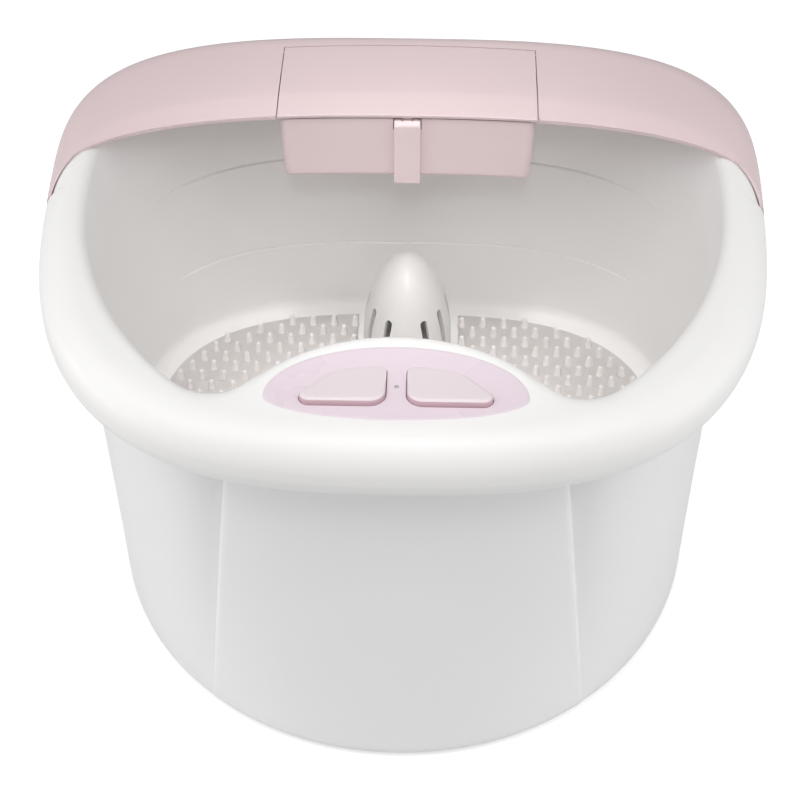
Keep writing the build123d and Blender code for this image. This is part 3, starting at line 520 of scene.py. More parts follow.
FLOOR_REACH = 6000
lamp("key_light", (0.0, -0.7, 1.85), (1.0, 0.9), 5.9)
for side, name, power in ((-1, "left", 3.6), (1, "right", 1.6)):
    lamp(name + "_top_light", (side * 1.0, -0.8, 1.6), (0.8, 0.5), 4.2)
    lamp(name + "_light", (side * 1.4, 0.0, 1.3), (1.0, 0.8), power)
    lamp(name + "_front_light", (side * 1.6, -0.6, 0.8), (1.0, 0.6), 2.1)
    lamp(name + "_low_light", (side * 1.8, -0.1, 0.2), (1.4, 0.3), 5.0)
for name, eye, target, cone, energy in (
    ("tub", (0.0, -0.45, 1.8), (0.0, 0.045, 0.1), 11.5, 46.0),
    ("toe", (0.0, -1.1, 1.35), (0.0, 0.12, 0.16), 9.5, 17.0),
):
    snoot = bpy.data.lights.new(name + "_snoot", "SPOT")
    snoot.spot_size = radians(cone)
    snoot.spot_blend = 0.8
    snoot.shadow_soft_size = 0.12
    snoot.energy = energy
    look(name + "_snoot_light", eye, target, snoot)

WHITE = (1, 1, 1, 1)


def camera_choice(tree, unseen, seen, output):
    """Shows the camera one shader and all other rays the other."""
    ray = tree.nodes.new("ShaderNodeLightPath")
    choice = tree.nodes.new("ShaderNodeMixShader")
    tree.links.new(ray.outputs["Is Camera Ray"], choice.inputs[0])
    tree.links.new(unseen.outputs[0], choice.inputs[1])
    tree.links.new(seen.outputs[0], choice.inputs[2])
    tree.links.new(choice.outputs[0], tree.nodes[output].inputs["Surface"])


world = bpy.data.worlds.new("world")
SCENE.world = world
world.use_nodes = True
sky = world.node_tree.nodes["Background"]
sky.inputs["Color"].default_value = WHITE
sky.inputs["Strength"].default_value = 0.36
seen_sky = add_node(world.node_tree.nodes, "Background", Color=WHITE, Strength=0.12)
camera_choice(world.node_tree, sky, seen_sky, "World Output")

corners = [(x * FLOOR_REACH, y * FLOOR_REACH, 0) for x, y in ((-1, -1), (1, -1), (1, 1), (-1, 1))]
floor = mesh_object("floor", corners, [(0, 1, 2, 3)])
floor_material = bpy.data.materials.new("floor")
floor_material.use_nodes = True
floor_tree = floor_material.node_tree
floor_shader = floor_tree.nodes["Principled BSDF"]
floor_shader.inputs["Base Color"].default_value = (0.8, 0.8, 0.8, 1)
floor_shader.inputs["Roughness"].default_value = 0.9
glow = add_node(floor_tree.nodes, "Emission", Strength=0.55)
seen_floor = floor_tree.nodes.new("ShaderNodeAddShader")
floor_tree.links.new(floor_shader.outputs[0], seen_floor.inputs[0])
floor_tree.links.new(glow.outputs[0], seen_floor.inputs[1])
camera_choice(floor_tree, floor_shader, seen_floor, "Material Output")
dress(floor, floor_material)


# ---- basin

GROOVES = ((170.0, 1.7), (108.0, 0.9))
GROOVE_HALF_WIDTH = 0.75
GROOVE_STEPS = (8, 2.5, 1.2, 1, 0, -1, -1.2, -2.5, -8)
GROOVE_FADE = (95.0, 160.0)


def bend(shares, start, end, level, rise):
    """Rings along a quarter turn between two lines, from the level by the rise."""
    swings = [QUARTER * share for share in shares]
    run = end - start
    return [with_z(start + run * (1 - cos(swing)), level + rise * sin(swing)) for swing in swings]


def build_basin():
    """The rolled rim, the tub's wall with its thin grooves, and the floor, as one closed shell."""
    angle, _ = spokes_of(even(tub_outline(0.0), SPOKES, closed=True))
    turn = np.linspace(0, TAU, 2400, endpoint=False)
    step_turn = np.arctan2(GUARD_FRONT_Y - HUB[1] - np.array((1.6, 1.2, 0.8, 0.4)), RIM[0])
    angle = np.sort(np.concatenate([angle, step_turn % TAU, (pi - step_turn) % TAU]))

    def rim(inset):
        whole = at_spokes(oval(turn, RIM, inset), angle)
        stepped = at_spokes(oval(turn, RIM, inset + HOOD_REBATE), angle)
        under_hood = smooth_step(whole[:, 1], GUARD_FRONT_Y - 1.3, GUARD_FRONT_Y - 0.7)[:, None]
        return whole + (stepped - whole) * under_hood

    def tub(inset):
        return at_spokes(tub_outline(inset), angle)

    edge, rolled = rim(0.0), rim(RIM_ROLL)
    wall, mouth = tub(0.0), tub(-MOUTH_ROUND)
    width = np.hypot(*(edge - wall).T)
    room = np.clip(width / (RIM_ROLL + MOUTH_ROUND + 1), 0, 1)[:, None]
    top_edge = edge + (rolled - edge) * room
    mouth_edge = wall + (mouth - wall) * room
    shares = [1 - step / 12 for step in range(12)]
    rings = bend(shares, edge, rolled, RIM_BOTTOM + RIM_ROLL, -RIM_ROLL)
    rings += bend([step / 14 for step in range(15)], edge, top_edge, RIM_TOP - RIM_ROLL, RIM_ROLL)
    for step in range(1, 6):
        rings.append(with_z(top_edge + (mouth_edge - top_edge) * step / 6, RIM_TOP))
    drop_inset = TUB_SHOULDER_INSET * MOUTH_ROUND / (RIM_TOP - TUB_SHOULDER)
    below = tub(drop_inset)
    for step in range(11):
        swing = QUARTER * step / 10
        line = below + (mouth_edge - below) * (1 - sin(swing))
        rings.append(with_z(line, RIM_TOP - MOUTH_ROUND + MOUTH_ROUND * cos(swing)))
    levels = [TUB_SHOULDER + 20, TUB_SHOULDER + 8, TUB_SHOULDER + 3, TUB_SHOULDER, TUB_SHOULDER - 3]
    levels += [198, 190, 182]
    for level, _ in GROOVES:
        levels += [level + step * GROOVE_HALF_WIDTH for step in GROOVE_STEPS]
    levels += [150, 138, 126, 116, 92, 82, 75]
    low = FLOOR_TOP + FLOOR_ROUND
    slope = (FLOOR_INSET - TUB_SHOULDER_INSET) / (TUB_SHOULDER - low)
    for level in sorted(levels, reverse=True):
        if level > TUB_SHOULDER:
            inset = TUB_SHOULDER_INSET * (RIM_TOP - level) / (RIM_TOP - TUB_SHOULDER)
        else:
            inset = TUB_SHOULDER_INSET + slope * (TUB_SHOULDER - level)
        line = tub(inset)
        rear = smooth_step(line[:, 1], *GROOVE_FADE)
        away = (line - HUB) / np.hypot(*(HUB - line).T)[:, None]
        for at, depth in GROOVES:
            share = max(0.0, 1 - abs(level - at) / GROOVE_HALF_WIDTH)
            line = line + away * (depth * share * rear)[:, None]
        rings.append(with_z(line, level))
    foot = tub(FLOOR_INSET)
    corner = tub(FLOOR_INSET + FLOOR_ROUND)
    rings += bend([step / 8 for step in range(9)], foot, corner, low, -FLOOR_ROUND)
    for share in (0.9, 0.75, 0.55, 0.35, 0.15, 0.03):
        rings.append(with_z(HUB + (corner - HUB) * share, FLOOR_TOP))
    under = FLOOR_TOP - FLOOR_WALL
    outer_corner = tub(FLOOR_INSET + FLOOR_ROUND - TUB_WALL)
    for share in (0.03, 0.3, 0.6, 0.9, 1.0):
        rings.append(with_z(HUB + (outer_corner - HUB) * share, under))
    outer_foot = tub(FLOOR_INSET - TUB_WALL)
    shares = [1 - step / 6 for step in range(1, 7)]
    rings += bend(shares, outer_foot, outer_corner, low, under - low)
    for level in (100, 140, 180, TUB_SHOULDER):
        line = tub(TUB_SHOULDER_INSET + slope * (TUB_SHOULDER - level) - TUB_WALL)
        rings.append(with_z(line, level))
    hollow_top = RIM_TOP - RIM_WALL
    gap_width = (room * (RIM_ROLL + MOUTH_ROUND) - 6) / (RIM_ROLL + MOUTH_ROUND)
    rings.append(with_z(tub(-TUB_WALL * 0.6), hollow_top - 3))
    inner_roll = RIM_ROLL - RIM_WALL
    inner_edge, inner_top = rim(RIM_WALL), rim(RIM_ROLL)
    tight = np.clip((width[:, None] - 8) / (RIM_ROLL + 2), 0.3, 1) * np.clip(gap_width + 0.35, 0, 1)
    for step in range(9):
        swing = QUARTER * (1 - step / 8)
        line = inner_edge + (inner_top - inner_edge) * (1 - cos(swing)) * tight
        rings.append(with_z(line, RIM_TOP - RIM_ROLL + inner_roll * sin(swing)))
    shares = [step / 8 for step in range(1, 9)]
    rings += bend(shares, inner_edge, inner_top, RIM_BOTTOM + RIM_ROLL, -inner_roll)
    hem = rim(RIM_ROLL + RIM_WALL)
    rings += [with_z(hem, level) for level in (RIM_BOTTOM + RIM_WALL, RIM_BOTTOM)]
    return outward(rings_object("tub_and_rim", rings, closed_profile=True))


basin = build_basin()


# ---- control pod

PANEL_Y = -144.6
PANEL_HALF_WIDTH = 66.5
PANEL_REAR = 39.5
PANEL_FRONT = 17.0
PANEL_TOP = 244.3
PANEL_RECESS = 1.6
BUTTON_INNER_X = 5.2
BUTTON_WIDTH = 44.3
BUTTON_FRONT_Y = -151.2
BUTTON_DEPTH = 30.2
BUTTON_CORNERS = (8.5, 4.6, 4.6, 9.0, 9.0, 4.5)
BUTTON_TOP = 248.2
BUTTON_TILT = 3.7
BUTTON_ROLL = 2.4
BUTTON_WALL = 2.0
BUTTON_SKIRT = 239.2
BUTTON_GAP = 0.35
LAMP_Y = -136.3
LAMP_RADIUS = 1.25
LAMP_CLEARANCE = 0.05


def panel_outline(grow=0.0):
    """The fascia from above: two half ellipses of different depth."""
    turn = np.linspace(0, TAU, 240, endpoint=False)
    depth = np.where(np.sin(turn) > 0, PANEL_REAR, PANEL_FRONT) + grow
    return np.stack([(PANEL_HALF_WIDTH + grow) * np.cos(turn), PANEL_Y + depth * np.sin(turn)], -1)


def button_outline(side, grow=0.0):
    """A button from above: square beside the lamp, sloping away to follow the panel's edge."""
    inner, outer = BUTTON_INNER_X, BUTTON_INNER_X + BUTTON_WIDTH
    low, high = BUTTON_FRONT_Y, BUTTON_FRONT_Y + BUTTON_DEPTH
    corners = [
        (inner, low),
        (outer - 0.08 * BUTTON_WIDTH, low),
        (outer, low + 0.19 * BUTTON_DEPTH),
        (outer - 0.35 * BUTTON_WIDTH, high - 0.25 * BUTTON_DEPTH),
        (outer - 0.62 * BUTTON_WIDTH, high - 0.04 * BUTTON_DEPTH),
        (inner, high),
    ]
    line = inward(even(rounded(corners, BUTTON_CORNERS), 160, closed=True), -grow)
    return line if side > 0 else line[::-1] * (-1, 1)


def button_cap(side):
    """A hollow cap whose top leans back to meet the panel behind it."""
    edge = BUTTON_ROLL
    whole, inner_line = button_outline(side), button_outline(side, -edge)
    behind = (whole[:, 1] - BUTTON_FRONT_Y) / BUTTON_DEPTH
    softness = 1 - 0.88 * smooth_step(behind, 0.25, 0.8)

    def lifted(inset, drop):
        line = whole + (inner_line - whole) * (inset / edge * softness)[:, None]
        share = (line[:, 1] - BUTTON_FRONT_Y) / BUTTON_DEPTH
        return with_z(line, BUTTON_TOP - BUTTON_TILT * share**1.3 - drop * softness)

    rings = [with_z(whole, z) for z in (BUTTON_SKIRT, PANEL_TOP - 2.0)]
    for step in range(9):
        swing = QUARTER * step / 8
        rings.append(lifted(edge * (1 - cos(swing)), edge * (1 - sin(swing))))
    middle = button_outline(side).mean(0)

    def shrunk(share, drop):
        ring = lifted(edge, drop)
        ring[:, :2] = middle + (ring[:, :2] - middle) * share
        share = np.clip((ring[:, 1] - BUTTON_FRONT_Y) / BUTTON_DEPTH, 0, 1)
        ring[:, 2] = BUTTON_TOP - drop - BUTTON_TILT * share**1.3
        return ring

    rings += [shrunk(share, 0) for share in (0.85, 0.6, 0.35, 0.1)]
    cap_rings = len(rings)
    inner = [shrunk(share, BUTTON_WALL) for share in (0.1, 0.35, 0.6, 0.85)]
    levels = (BUTTON_TOP - BUTTON_TILT - edge - BUTTON_WALL, BUTTON_SKIRT)
    inner += [with_z(button_outline(side, -BUTTON_WALL), level) for level in levels]
    count = len(rings[0])
    faces = ring_faces(cap_rings, count, last_cap=True)
    first_inner = cap_rings * count
    inner_faces = ring_faces(len(inner), count, first_cap=True)
    faces += [tuple(first_inner + k for k in face) for face in inner_faces]
    last = (cap_rings + len(inner) - 1) * count
    faces += [(last + k, last + (k + 1) % count, (k + 1) % count, k) for k in range(count)]
    return outward(mesh_object("button", np.concatenate(rings + inner), faces))


def build_panel():
    """The fascia: a flat lens shape, open for the buttons and the lamp."""
    bottom = RIM_TOP - PANEL_RECESS
    rings = [with_z(panel_outline(), bottom), with_z(panel_outline(), RIM_TOP - 0.08)]
    for inset, height in ((0.3, 0.1), (0.9, 0.22), (1.8, 0.3)):
        rings.append(with_z(panel_outline(-inset), RIM_TOP + height))
    panel = capped("fascia_panel", rings)
    holes = [button_outline(side, BUTTON_GAP) for side in (-1, 1)]
    holes.append(unit_circle(32) * (LAMP_RADIUS + LAMP_CLEARANCE) + (0, LAMP_Y))
    cut(panel, *[prism("hole", hole, bottom - 1, PANEL_TOP + 1) for hole in holes])
    return crisp(soften(panel, 0.12, segments=2, angle=50), 3)


def build_lens():
    """The lamp's small domed lens on its stem."""
    circle = unit_circle(32) * LAMP_RADIUS
    profile = [(1.0, RIM_TOP - 6.0), (1.0, PANEL_TOP - 0.1), (0.85, PANEL_TOP + 0.12)]
    profile += [(0.55, PANEL_TOP + 0.25), (0.15, PANEL_TOP + 0.3)]
    rings = [with_z(circle * share + (0, LAMP_Y), z) for share, z in profile]
    return capped("lens", rings)


cutters = [prism("recess", panel_outline(0.03), RIM_TOP - PANEL_RECESS - 0.05, RIM_TOP + 2)]
for side in (-1, 1):
    cutters.append(prism("opening", button_outline(side, 0.5), RIM_TOP - 12, RIM_TOP + 2))
cut(basin, *cutters)
crisp(basin)
panel = build_panel()
finish_piece(panel, FASCIA, "fascia", "basin", "control_panel")
finish_piece(build_lens(), LAMP, "lamp_lens", "basin", "indicator_light")
for side, name in ((-1, "bubble_heat_button"), (1, "vibration_button")):
    cap = button_cap(side)
    cap.name = name + "_cap"
    finish_piece(cap, BUTTON, "button_white", name, name)
    # Faces steeper than the top get the darker pink, chosen by which way each face turns: painted
    # shade on the caps' sides
    cap.data.materials.append(BUTTON_SHADED_SIDE)
    for face in cap.data.polygons:
        face.material_index = int(abs(face.normal.z) < 0.6)


# ---- hood and lid

def arch_y(x, run=0.0):
    """The Y of the hood's front edge at an X, moved back by the run at its middle."""
    half_width = ARCH_HALF_WIDTH + FACET_SIDE_RUN * run / FACET_RUN
    share = (1 - np.abs(x / half_width) ** ARCH_POWER) ** (1 / ARCH_POWER)
    return ARCH_Y + (ARCH_DEPTH + run) * share


def facet_share(x, y):
    """How far a spot lies from the front edge, 0, to the crease behind it, 1, or beyond."""
    low = np.full(np.shape(x), -0.5)
    high = np.full(np.shape(x), 1.5)
    for _ in range(30):
        share = (low + high) / 2
        across = np.abs(x) / (ARCH_HALF_WIDTH + FACET_SIDE_RUN * share)
        along = np.clip(y - ARCH_Y, 0, None) / (ARCH_DEPTH + FACET_RUN * share)
        beyond = across**ARCH_POWER + along**ARCH_POWER > 1
        low, high = np.where(beyond, share, low), np.where(beyond, high, share)
    return share


RIM_LINE = oval(np.linspace(0, TAU, 2400, endpoint=False), RIM)


def rim_rear_y(x):
    """The Y of the rim's rear outline at an X."""
    return np.interp(x, *RIM_LINE[RIM_LINE[:, 1] > 100][::-1].T)


def to_rim(spots):
    """Each spot's distance from the rim's outline."""
    gaps = [np.hypot(RIM_LINE[:, 0] - x, RIM_LINE[:, 1] - y).min() for x, y in spots]
    return np.array(gaps)


def hood_height(spots, depth):
    """The hood's upper surface: flat, with bent wings, a rolled edge and a facet in front."""
    x, y = spots[:, 0], spots[:, 1]
    fall = np.logaddexp(0, (GUARD_BEND_Y - y) / 6) * 6 * tan(radians(GUARD_WING_SLOPE))
    inner = GUARD_ROLL - np.clip(depth, 0, GUARD_ROLL)
    rolled = GUARD_TOP - fall - GUARD_ROLL + np.sqrt(GUARD_ROLL**2 - inner**2)
    facet = GUARD_TOP - FACET_DROP * (1 - facet_share(x, y))
    return (rolled + facet - np.sqrt((rolled - facet) ** 2 + 0.04)) / 2


def lid_side(y, grow=0.0):
    """The X of the lid's right side at a Y."""
    corner_y = LID_REAR_Y - LID_REAR_BOW
    return LID_FRONT_HALF + grow - (LID_FRONT_HALF - LID_REAR_HALF) * y / corner_y


def lid_rear(x, grow=0.0):
    """The Y of the lid's bowed rear edge at an X."""
    return LID_REAR_Y + grow - LID_REAR_BOW * (x / LID_REAR_HALF) ** 2


LID_WALL = 2.3
HOOD_TRIM = 0.9988
HINGE_Y = 157.4
HINGE_Z = 246.4
BARREL_RADIUS = 2.2
BARREL_LENGTH = 12.0
PIN_Y = 99.2
PIN_Z = 239.8
PIN_BORE = 1.25
LUG_HALF_WIDTH = 2.8
LUG_RADIUS = 2.0
LUG_SETBACK = 1.2
STEM_TOP = GUARD_TOP - FACET_DROP - LID_WALL / 2
EAR_SCREW_X = 78.5
EAR_SCREW_Y = 123.5
EAR_SPACING = 30.0
POST_RADIUS = 3.5
BOX_TOP = 242.5
FAR_INSIDE = 99.0
SIDE_COLUMNS = 96
NOTCH_COLUMNS = 49
ROLL_ROWS = 12
LEDGE_ROWS = 3
FIELD_ROWS = 10
FACET_ROWS = 6
SKIRT_ROWS = 3


def hood_column(start, end, notch=None):
    """One line of the hood from the outline to its front edge, or to the lid's notch."""
    share = np.linspace(0, 1, 160)
    along = start + (end - start) * share[:, None]
    depth = to_rim(along)
    reach = min(GUARD_ROLL, 0.75 * depth[-1])
    swing = np.linspace(0, QUARTER, ROLL_ROWS + 1)
    roll = np.interp(reach * (1 - np.cos(swing)), depth, share)
    if notch is None:
        crease = 1.0
    else:
        crease = float(np.interp(-1.0, -facet_share(along[:, 0], along[:, 1]), share))
        crease = min(max(crease, roll[-1] + 0.25 * (1 - roll[-1])), 0.97)
    stop = 1.0 if notch is None else roll[-1] + (crease - roll[-1]) * notch
    shares = [roll, np.linspace(roll[-1], stop, LEDGE_ROWS + 1)[1:]]
    if notch is not None:
        shares.append(np.linspace(stop, crease, FIELD_ROWS + 1)[1:])
        shares.append(np.linspace(crease, 1, FACET_ROWS + 1)[1:])
    spots = start + (end - start) * np.concatenate(shares)[:, None]
    height = hood_height(spots, to_rim(spots))
    skirt = np.linspace(GUARD_SKIRT, height[0], SKIRT_ROWS + 1)[:-1]
    lower = with_z(np.repeat(spots[:1], SKIRT_ROWS, 0), skirt)
    return np.concatenate([lower, with_z(spots, height)])


def side_lines():
    """The outline and front edge of the hood's right half, from the lid to the wing's tip."""
    rim_part = RIM_LINE[(RIM_LINE[:, 1] > GUARD_FRONT_Y) & (RIM_LINE[:, 0] > 0)]
    rim_part = rim_part[np.argsort(rim_part[:, 0] - rim_part[:, 1])]
    side_x = np.array([lid_side(y, LID_GAP) for y in rim_part[:, 1]])
    rim_part = rim_part[rim_part[:, 0] >= side_x]
    first = (lid_side(RIM[5] + RIM[2], LID_GAP), rim_rear_y(side_x[0]))
    shape = (ARCH_HALF_WIDTH, ARCH_DEPTH, ARCH_DEPTH, ARCH_POWER, ARCH_POWER, ARCH_Y)
    edge = oval(np.linspace(QUARTER, 0, 1200), shape)
    edge = edge[(edge[:, 1] > GUARD_FRONT_Y) & (edge[:, 0] >= lid_side(edge[:, 1], LID_GAP))]
    return even(np.concatenate([[first], rim_part]), SIDE_COLUMNS), even(edge, SIDE_COLUMNS)


def thicken(piece, wall, thin, thin_from):
    """Gives a skin its wall, which thins towards its outer edge."""
    spots = np.array([v.co[:] for v in piece.data.vertices]) / MM
    depth = to_rim(spots[:, :2])
    group = piece.vertex_groups.new(name="wall")
    for index, value in enumerate(np.clip(depth / thin_from, 0, 1)):
        group.add([index], float(value), "REPLACE")
    step = piece.modifiers.new("wall", "SOLIDIFY")
    step.thickness = wall * MM
    step.offset = -1
    step.use_even_offset = False
    step.vertex_group = "wall"
    step.thickness_vertex_group = thin / wall
    apply_all(piece)
    piece.vertex_groups.clear()
    return piece


def build_hood():
    """The hood with its notch for the lid, and the posts that the box hangs from."""
    outer, edge = side_lines()
    corner_x = lid_side(lid_rear(LID_REAR_HALF), LID_GAP)
    corner = np.array((corner_x, lid_rear(LID_REAR_HALF, LID_REAR_GAP)))
    full = hood_column(outer[0], edge[0], notch=0.2)
    length = np.hypot(*(edge[0] - outer[0]))
    roll_end = np.hypot(*(full[SKIRT_ROWS + ROLL_ROWS, :2] - outer[0])) / length
    crease = np.hypot(*(full[-1 - FACET_ROWS, :2] - outer[0])) / length
    notch = (np.hypot(*(corner - outer[0])) / length - roll_end) / (crease - roll_end)
    right = [hood_column(a, b, notch) for a, b in zip(outer, edge)]
    left = [column * (-1, 1, 1) for column in right]
    middle = []
    for share in np.linspace(1, -1, NOTCH_COLUMNS)[1:-1]:
        x = share * corner[0]
        start = np.array((share * outer[0][0], rim_rear_y(share * outer[0][0])))
        middle.append(hood_column(start, np.array((x, lid_rear(x, LID_REAR_GAP)))))
    columns = right[::-1] + middle + left
    starts = np.concatenate([[0], np.cumsum([len(c) for c in columns])])
    faces = []
    for index in range(len(columns) - 1):
        shared = min(len(columns[index]), len(columns[index + 1]))
        a, b = starts[index], starts[index + 1]
        faces += [(a + k, b + k, b + k + 1, a + k + 1) for k in range(shared - 1)]
    hood = mesh_object("hood", np.concatenate(columns), faces)
    outward(hood)
    thicken(hood, GUARD_WALL, GUARD_EDGE_WALL, GUARD_THIN_RUN)
    parts = [soften(hood, 0.8, segments=3, angle=50)]
    for x in (-EAR_SCREW_X, EAR_SCREW_X):
        for y in (EAR_SCREW_Y - EAR_SPACING / 2, EAR_SCREW_Y + EAR_SPACING / 2):
            spot = np.array((x, y))
            height = hood_height(spot[None], np.array([FAR_INSIDE]))[0] - GUARD_WALL / 2
            parts.append(rod("post", (x, y, BOX_TOP), (0, 0, height - BOX_TOP), POST_RADIUS))
    hood = join("hood", parts)
    for vertex in hood.data.vertices:
        vertex.co.x *= HOOD_TRIM
    return hood


def pin_bore():
    """A cutter for the hole that the latch's pin runs in."""
    return rod("bore", (-10.0, PIN_Y, PIN_Z), (20.0, 0, 0), PIN_BORE)


def build_lid():
    """The lid, cut from the hood's surface, with its barrels and the lug for the latch."""
    columns = []
    for share in np.linspace(1, -1, 61):
        rear = lid_rear(share * LID_REAR_HALF)
        crease = arch_y(share * lid_side(115), FACET_RUN)
        front = arch_y(share * lid_side(97))
        y = np.concatenate([np.linspace(rear, crease, 20), np.linspace(crease, front, 10)[1:]])
        spots = np.stack([share * lid_side(y), y], -1)
        columns.append(with_z(spots, hood_height(spots, np.full(len(y), FAR_INSIDE))))
    lid = mesh_object("lid", np.concatenate(columns), grid_faces(len(columns), len(columns[0])))
    outward(lid)
    thicken(lid, LID_WALL, LID_WALL, 1)
    parts = [soften(lid, 0.5, segments=3, angle=50)]
    for start in (-LID_REAR_HALF, LID_REAR_HALF - BARREL_LENGTH):
        parts.append(rod("barrel", (start, HINGE_Y, HINGE_Z), (BARREL_LENGTH, 0, 0), BARREL_RADIUS))
    lug = rod("lug", (-LUG_HALF_WIDTH, PIN_Y, PIN_Z), (2 * LUG_HALF_WIDTH, 0, 0), LUG_RADIUS)
    near, far = PIN_Y - LUG_RADIUS + LUG_SETBACK, PIN_Y + LUG_RADIUS
    stem = rounded([(near, PIN_Z), (far, PIN_Z), (far, STEM_TOP), (near, STEM_TOP)], 0.3, 3)
    stem = capped("stem", [across_x(stem, x) for x in (-LUG_HALF_WIDTH, LUG_HALF_WIDTH)])
    for piece in (lug, stem):
        cut(piece, pin_bore())
        parts.append(piece)
    return join("lid", parts)


hood = build_hood()
lid = build_lid()
finish_piece(hood, ROSE_SHELL, "rose_shell", "splash_guard", "splash_guard")
finish_piece(lid, ROSE_SHELL, "rose_shell", "box_lid", "box_lid")


# ---- accessory box and latch

BOX_HALF_WIDTH = 73.0
BOX_DRAFT = 2.5
BOX_SETBACK = 1.6
BOX_REAR_Y = 150.0
BOX_BOTTOM = 202.0
BOX_WALL = 2.0
BOX_ROUND = 4.5
BOX_BOTTOM_ROUND = 3.5
BOX_MIDDLE_Y = 122.0
EAR_INSET = 1.0
EAR_REACH = 11.0
EAR_MARGIN = 5.25
EAR_THICKNESS = 2.0
EAR_ROUND = 0.9
EAR_DROP = 0.01
NOTCH_PLAY = 0.5
NOTCH_BOTTOM = 235.0
LATCH_HALF_WIDTH = 7.5
LATCH_FRONT = ARCH_Y + ARCH_DEPTH - 2.1
LATCH_THICKNESS = 3.2
LATCH_FOOT = 199.5
LATCH_TOP = 241.8
LATCH_BEVEL = 2.2
HEAD_BOTTOM = 236.8
HEAD_DEPTH = 6.5
LUG_PLAY = 0.4
STRAP_MIDDLE = (LATCH_FRONT + 1.5, 220.5)
DOT_RADIUS = 0.9
DOT_Z = 207.0
DOT_DEPTH = 0.35


def box_line(x, y, far_x, far_y):
    """A rectangle between two opposite corners."""
    return np.array([(x, y), (far_x, y), (far_x, far_y), (x, far_y)], float)


def tray_outline(level, inset):
    """The compartment at a level: drawn in below, its front bowed like the hood's edge."""
    half = BOX_HALF_WIDTH - BOX_DRAFT * (BOX_TOP - level) / (BOX_TOP - BOX_BOTTOM) - inset
    front_y, rear_y = arch_y(half) + BOX_SETBACK + inset, BOX_REAR_Y - inset
    corners = [(-half, front_y), (half, front_y), (half, rear_y), (-half, rear_y)]
    line = even(rounded(corners, max(BOX_ROUND - inset, 1.0), 12), 320, closed=True)
    bow = arch_y(line[:, 0]) - arch_y(half)
    share = np.clip((BOX_REAR_Y - line[:, 1]) / (BOX_REAR_Y - front_y), 0, 1)
    line[:, 1] += bow * smooth_step(share, 0.5, 0.95)
    return line


def build_tray():
    """The open compartment, notched for the latch, with ears for the hood's posts."""
    middle = np.array((0, BOX_MIDDLE_Y))
    round_off, inner_bottom = BOX_BOTTOM_ROUND, BOX_BOTTOM + BOX_WALL
    swings = [QUARTER * step / 6 for step in range(7)]

    def ring(level, inset=0.0):
        return with_z(tray_outline(level, inset), level)

    def drawn_in(share, inset, level):
        return with_z(middle + (tray_outline(BOX_BOTTOM, inset) - middle) * share, level)

    rings = [drawn_in(share, round_off, BOX_BOTTOM) for share in (0.25, 0.6, 0.85)]
    for swing in swings:
        rings.append(ring(BOX_BOTTOM + round_off * (1 - cos(swing)), round_off * (1 - sin(swing))))
    rings += [ring(level) for level in (212, 222, 232, BOX_TOP)]
    inner_levels = (BOX_TOP, 232, 222, 212, BOX_BOTTOM + round_off + BOX_WALL)
    rings += [ring(level, BOX_WALL) for level in inner_levels]
    for swing in swings[1:]:
        level = inner_bottom + round_off * (1 - sin(swing))
        rings.append(ring(level, BOX_WALL + round_off * (1 - cos(swing))))
    rings += [drawn_in(share, round_off + BOX_WALL, inner_bottom) for share in (0.85, 0.6, 0.25)]
    tray = capped("tray", rings)
    notch = box_line(-LATCH_HALF_WIDTH - NOTCH_PLAY, 90.0, LATCH_HALF_WIDTH + NOTCH_PLAY, 104.0)
    cut(tray, prism("notch", notch, NOTCH_BOTTOM, NOTCH_BOTTOM + 15))
    parts = [soften(tray, 0.35, segments=2, angle=50)]
    ear_y = (BOX_REAR_Y + ARCH_Y + ARCH_DEPTH) / 2
    half = EAR_SPACING / 2 + EAR_MARGIN
    near, far = BOX_HALF_WIDTH - EAR_INSET, BOX_HALF_WIDTH + EAR_REACH
    for low_x, high_x in ((-far, -near), (near, far)):
        corners = box_line(low_x, ear_y - half, high_x, ear_y + half)
        line = rounded(corners, EAR_ROUND)
        parts.append(prism("ear", line, BOX_TOP - EAR_THICKNESS, BOX_TOP - EAR_DROP))
    return join("accessory_tray", parts)


tray = build_tray()
finish_piece(tray, ROSE_BOX, "rose_shell", "splash_guard", "accessory_box")


def build_tongue():
    """The latch's tongue: a thin strap with a forked head and a small dot near its foot."""
    strap_back, head_back = LATCH_FRONT + LATCH_THICKNESS, LATCH_FRONT + HEAD_DEPTH
    corners = [
        (LATCH_FRONT, LATCH_FOOT),
        (strap_back, LATCH_FOOT),
        (strap_back, HEAD_BOTTOM),
        (head_back, HEAD_BOTTOM),
        (head_back, LATCH_TOP),
        (LATCH_FRONT + LATCH_BEVEL, LATCH_TOP),
        (LATCH_FRONT, LATCH_TOP - LATCH_BEVEL),
    ]
    profile = rounded(corners, (1.2, 1.2, 0.5, 0.5, 0.5, 1.2, 2.6), 6)
    sides = [(-1.0, 0.7), (-0.97, 0.2), (-0.9, 0.0), (0.9, 0.0), (0.97, 0.2), (1.0, 0.7)]
    middle = np.array(STRAP_MIDDLE)
    rings = []
    for share, inset in sides:
        line = middle + (profile - middle) * (1 - inset / 12 * np.array((2.0, 0.5)))
        rings.append(across_x(line, share * LATCH_HALF_WIDTH))
    strap = capped("strap", rings)
    dot_x, dot_z = (unit_circle(20) * DOT_RADIUS + (0.0, DOT_Z)).T
    dot_y = (LATCH_FRONT - 0.5, LATCH_FRONT + DOT_DEPTH)
    dot = capped("dot", [np.column_stack([dot_x, np.full(len(dot_x), y), dot_z]) for y in dot_y])
    slot_x, slot_y = LUG_HALF_WIDTH + LUG_PLAY, LUG_RADIUS + LUG_PLAY
    slot = prism("slot", box_line(slot_x, PIN_Y + slot_y, -slot_x, PIN_Y - slot_y), 230.0, 250.0)
    cut(strap, dot, slot, pin_bore())
    return crisp(strap, 50)


tongue = build_tongue()
tongue.name = "latch_tongue"
finish_piece(tongue, ROSE_TONGUE, "rose_tongue", "box_latch", "box_latch")


# ---- dome and mats

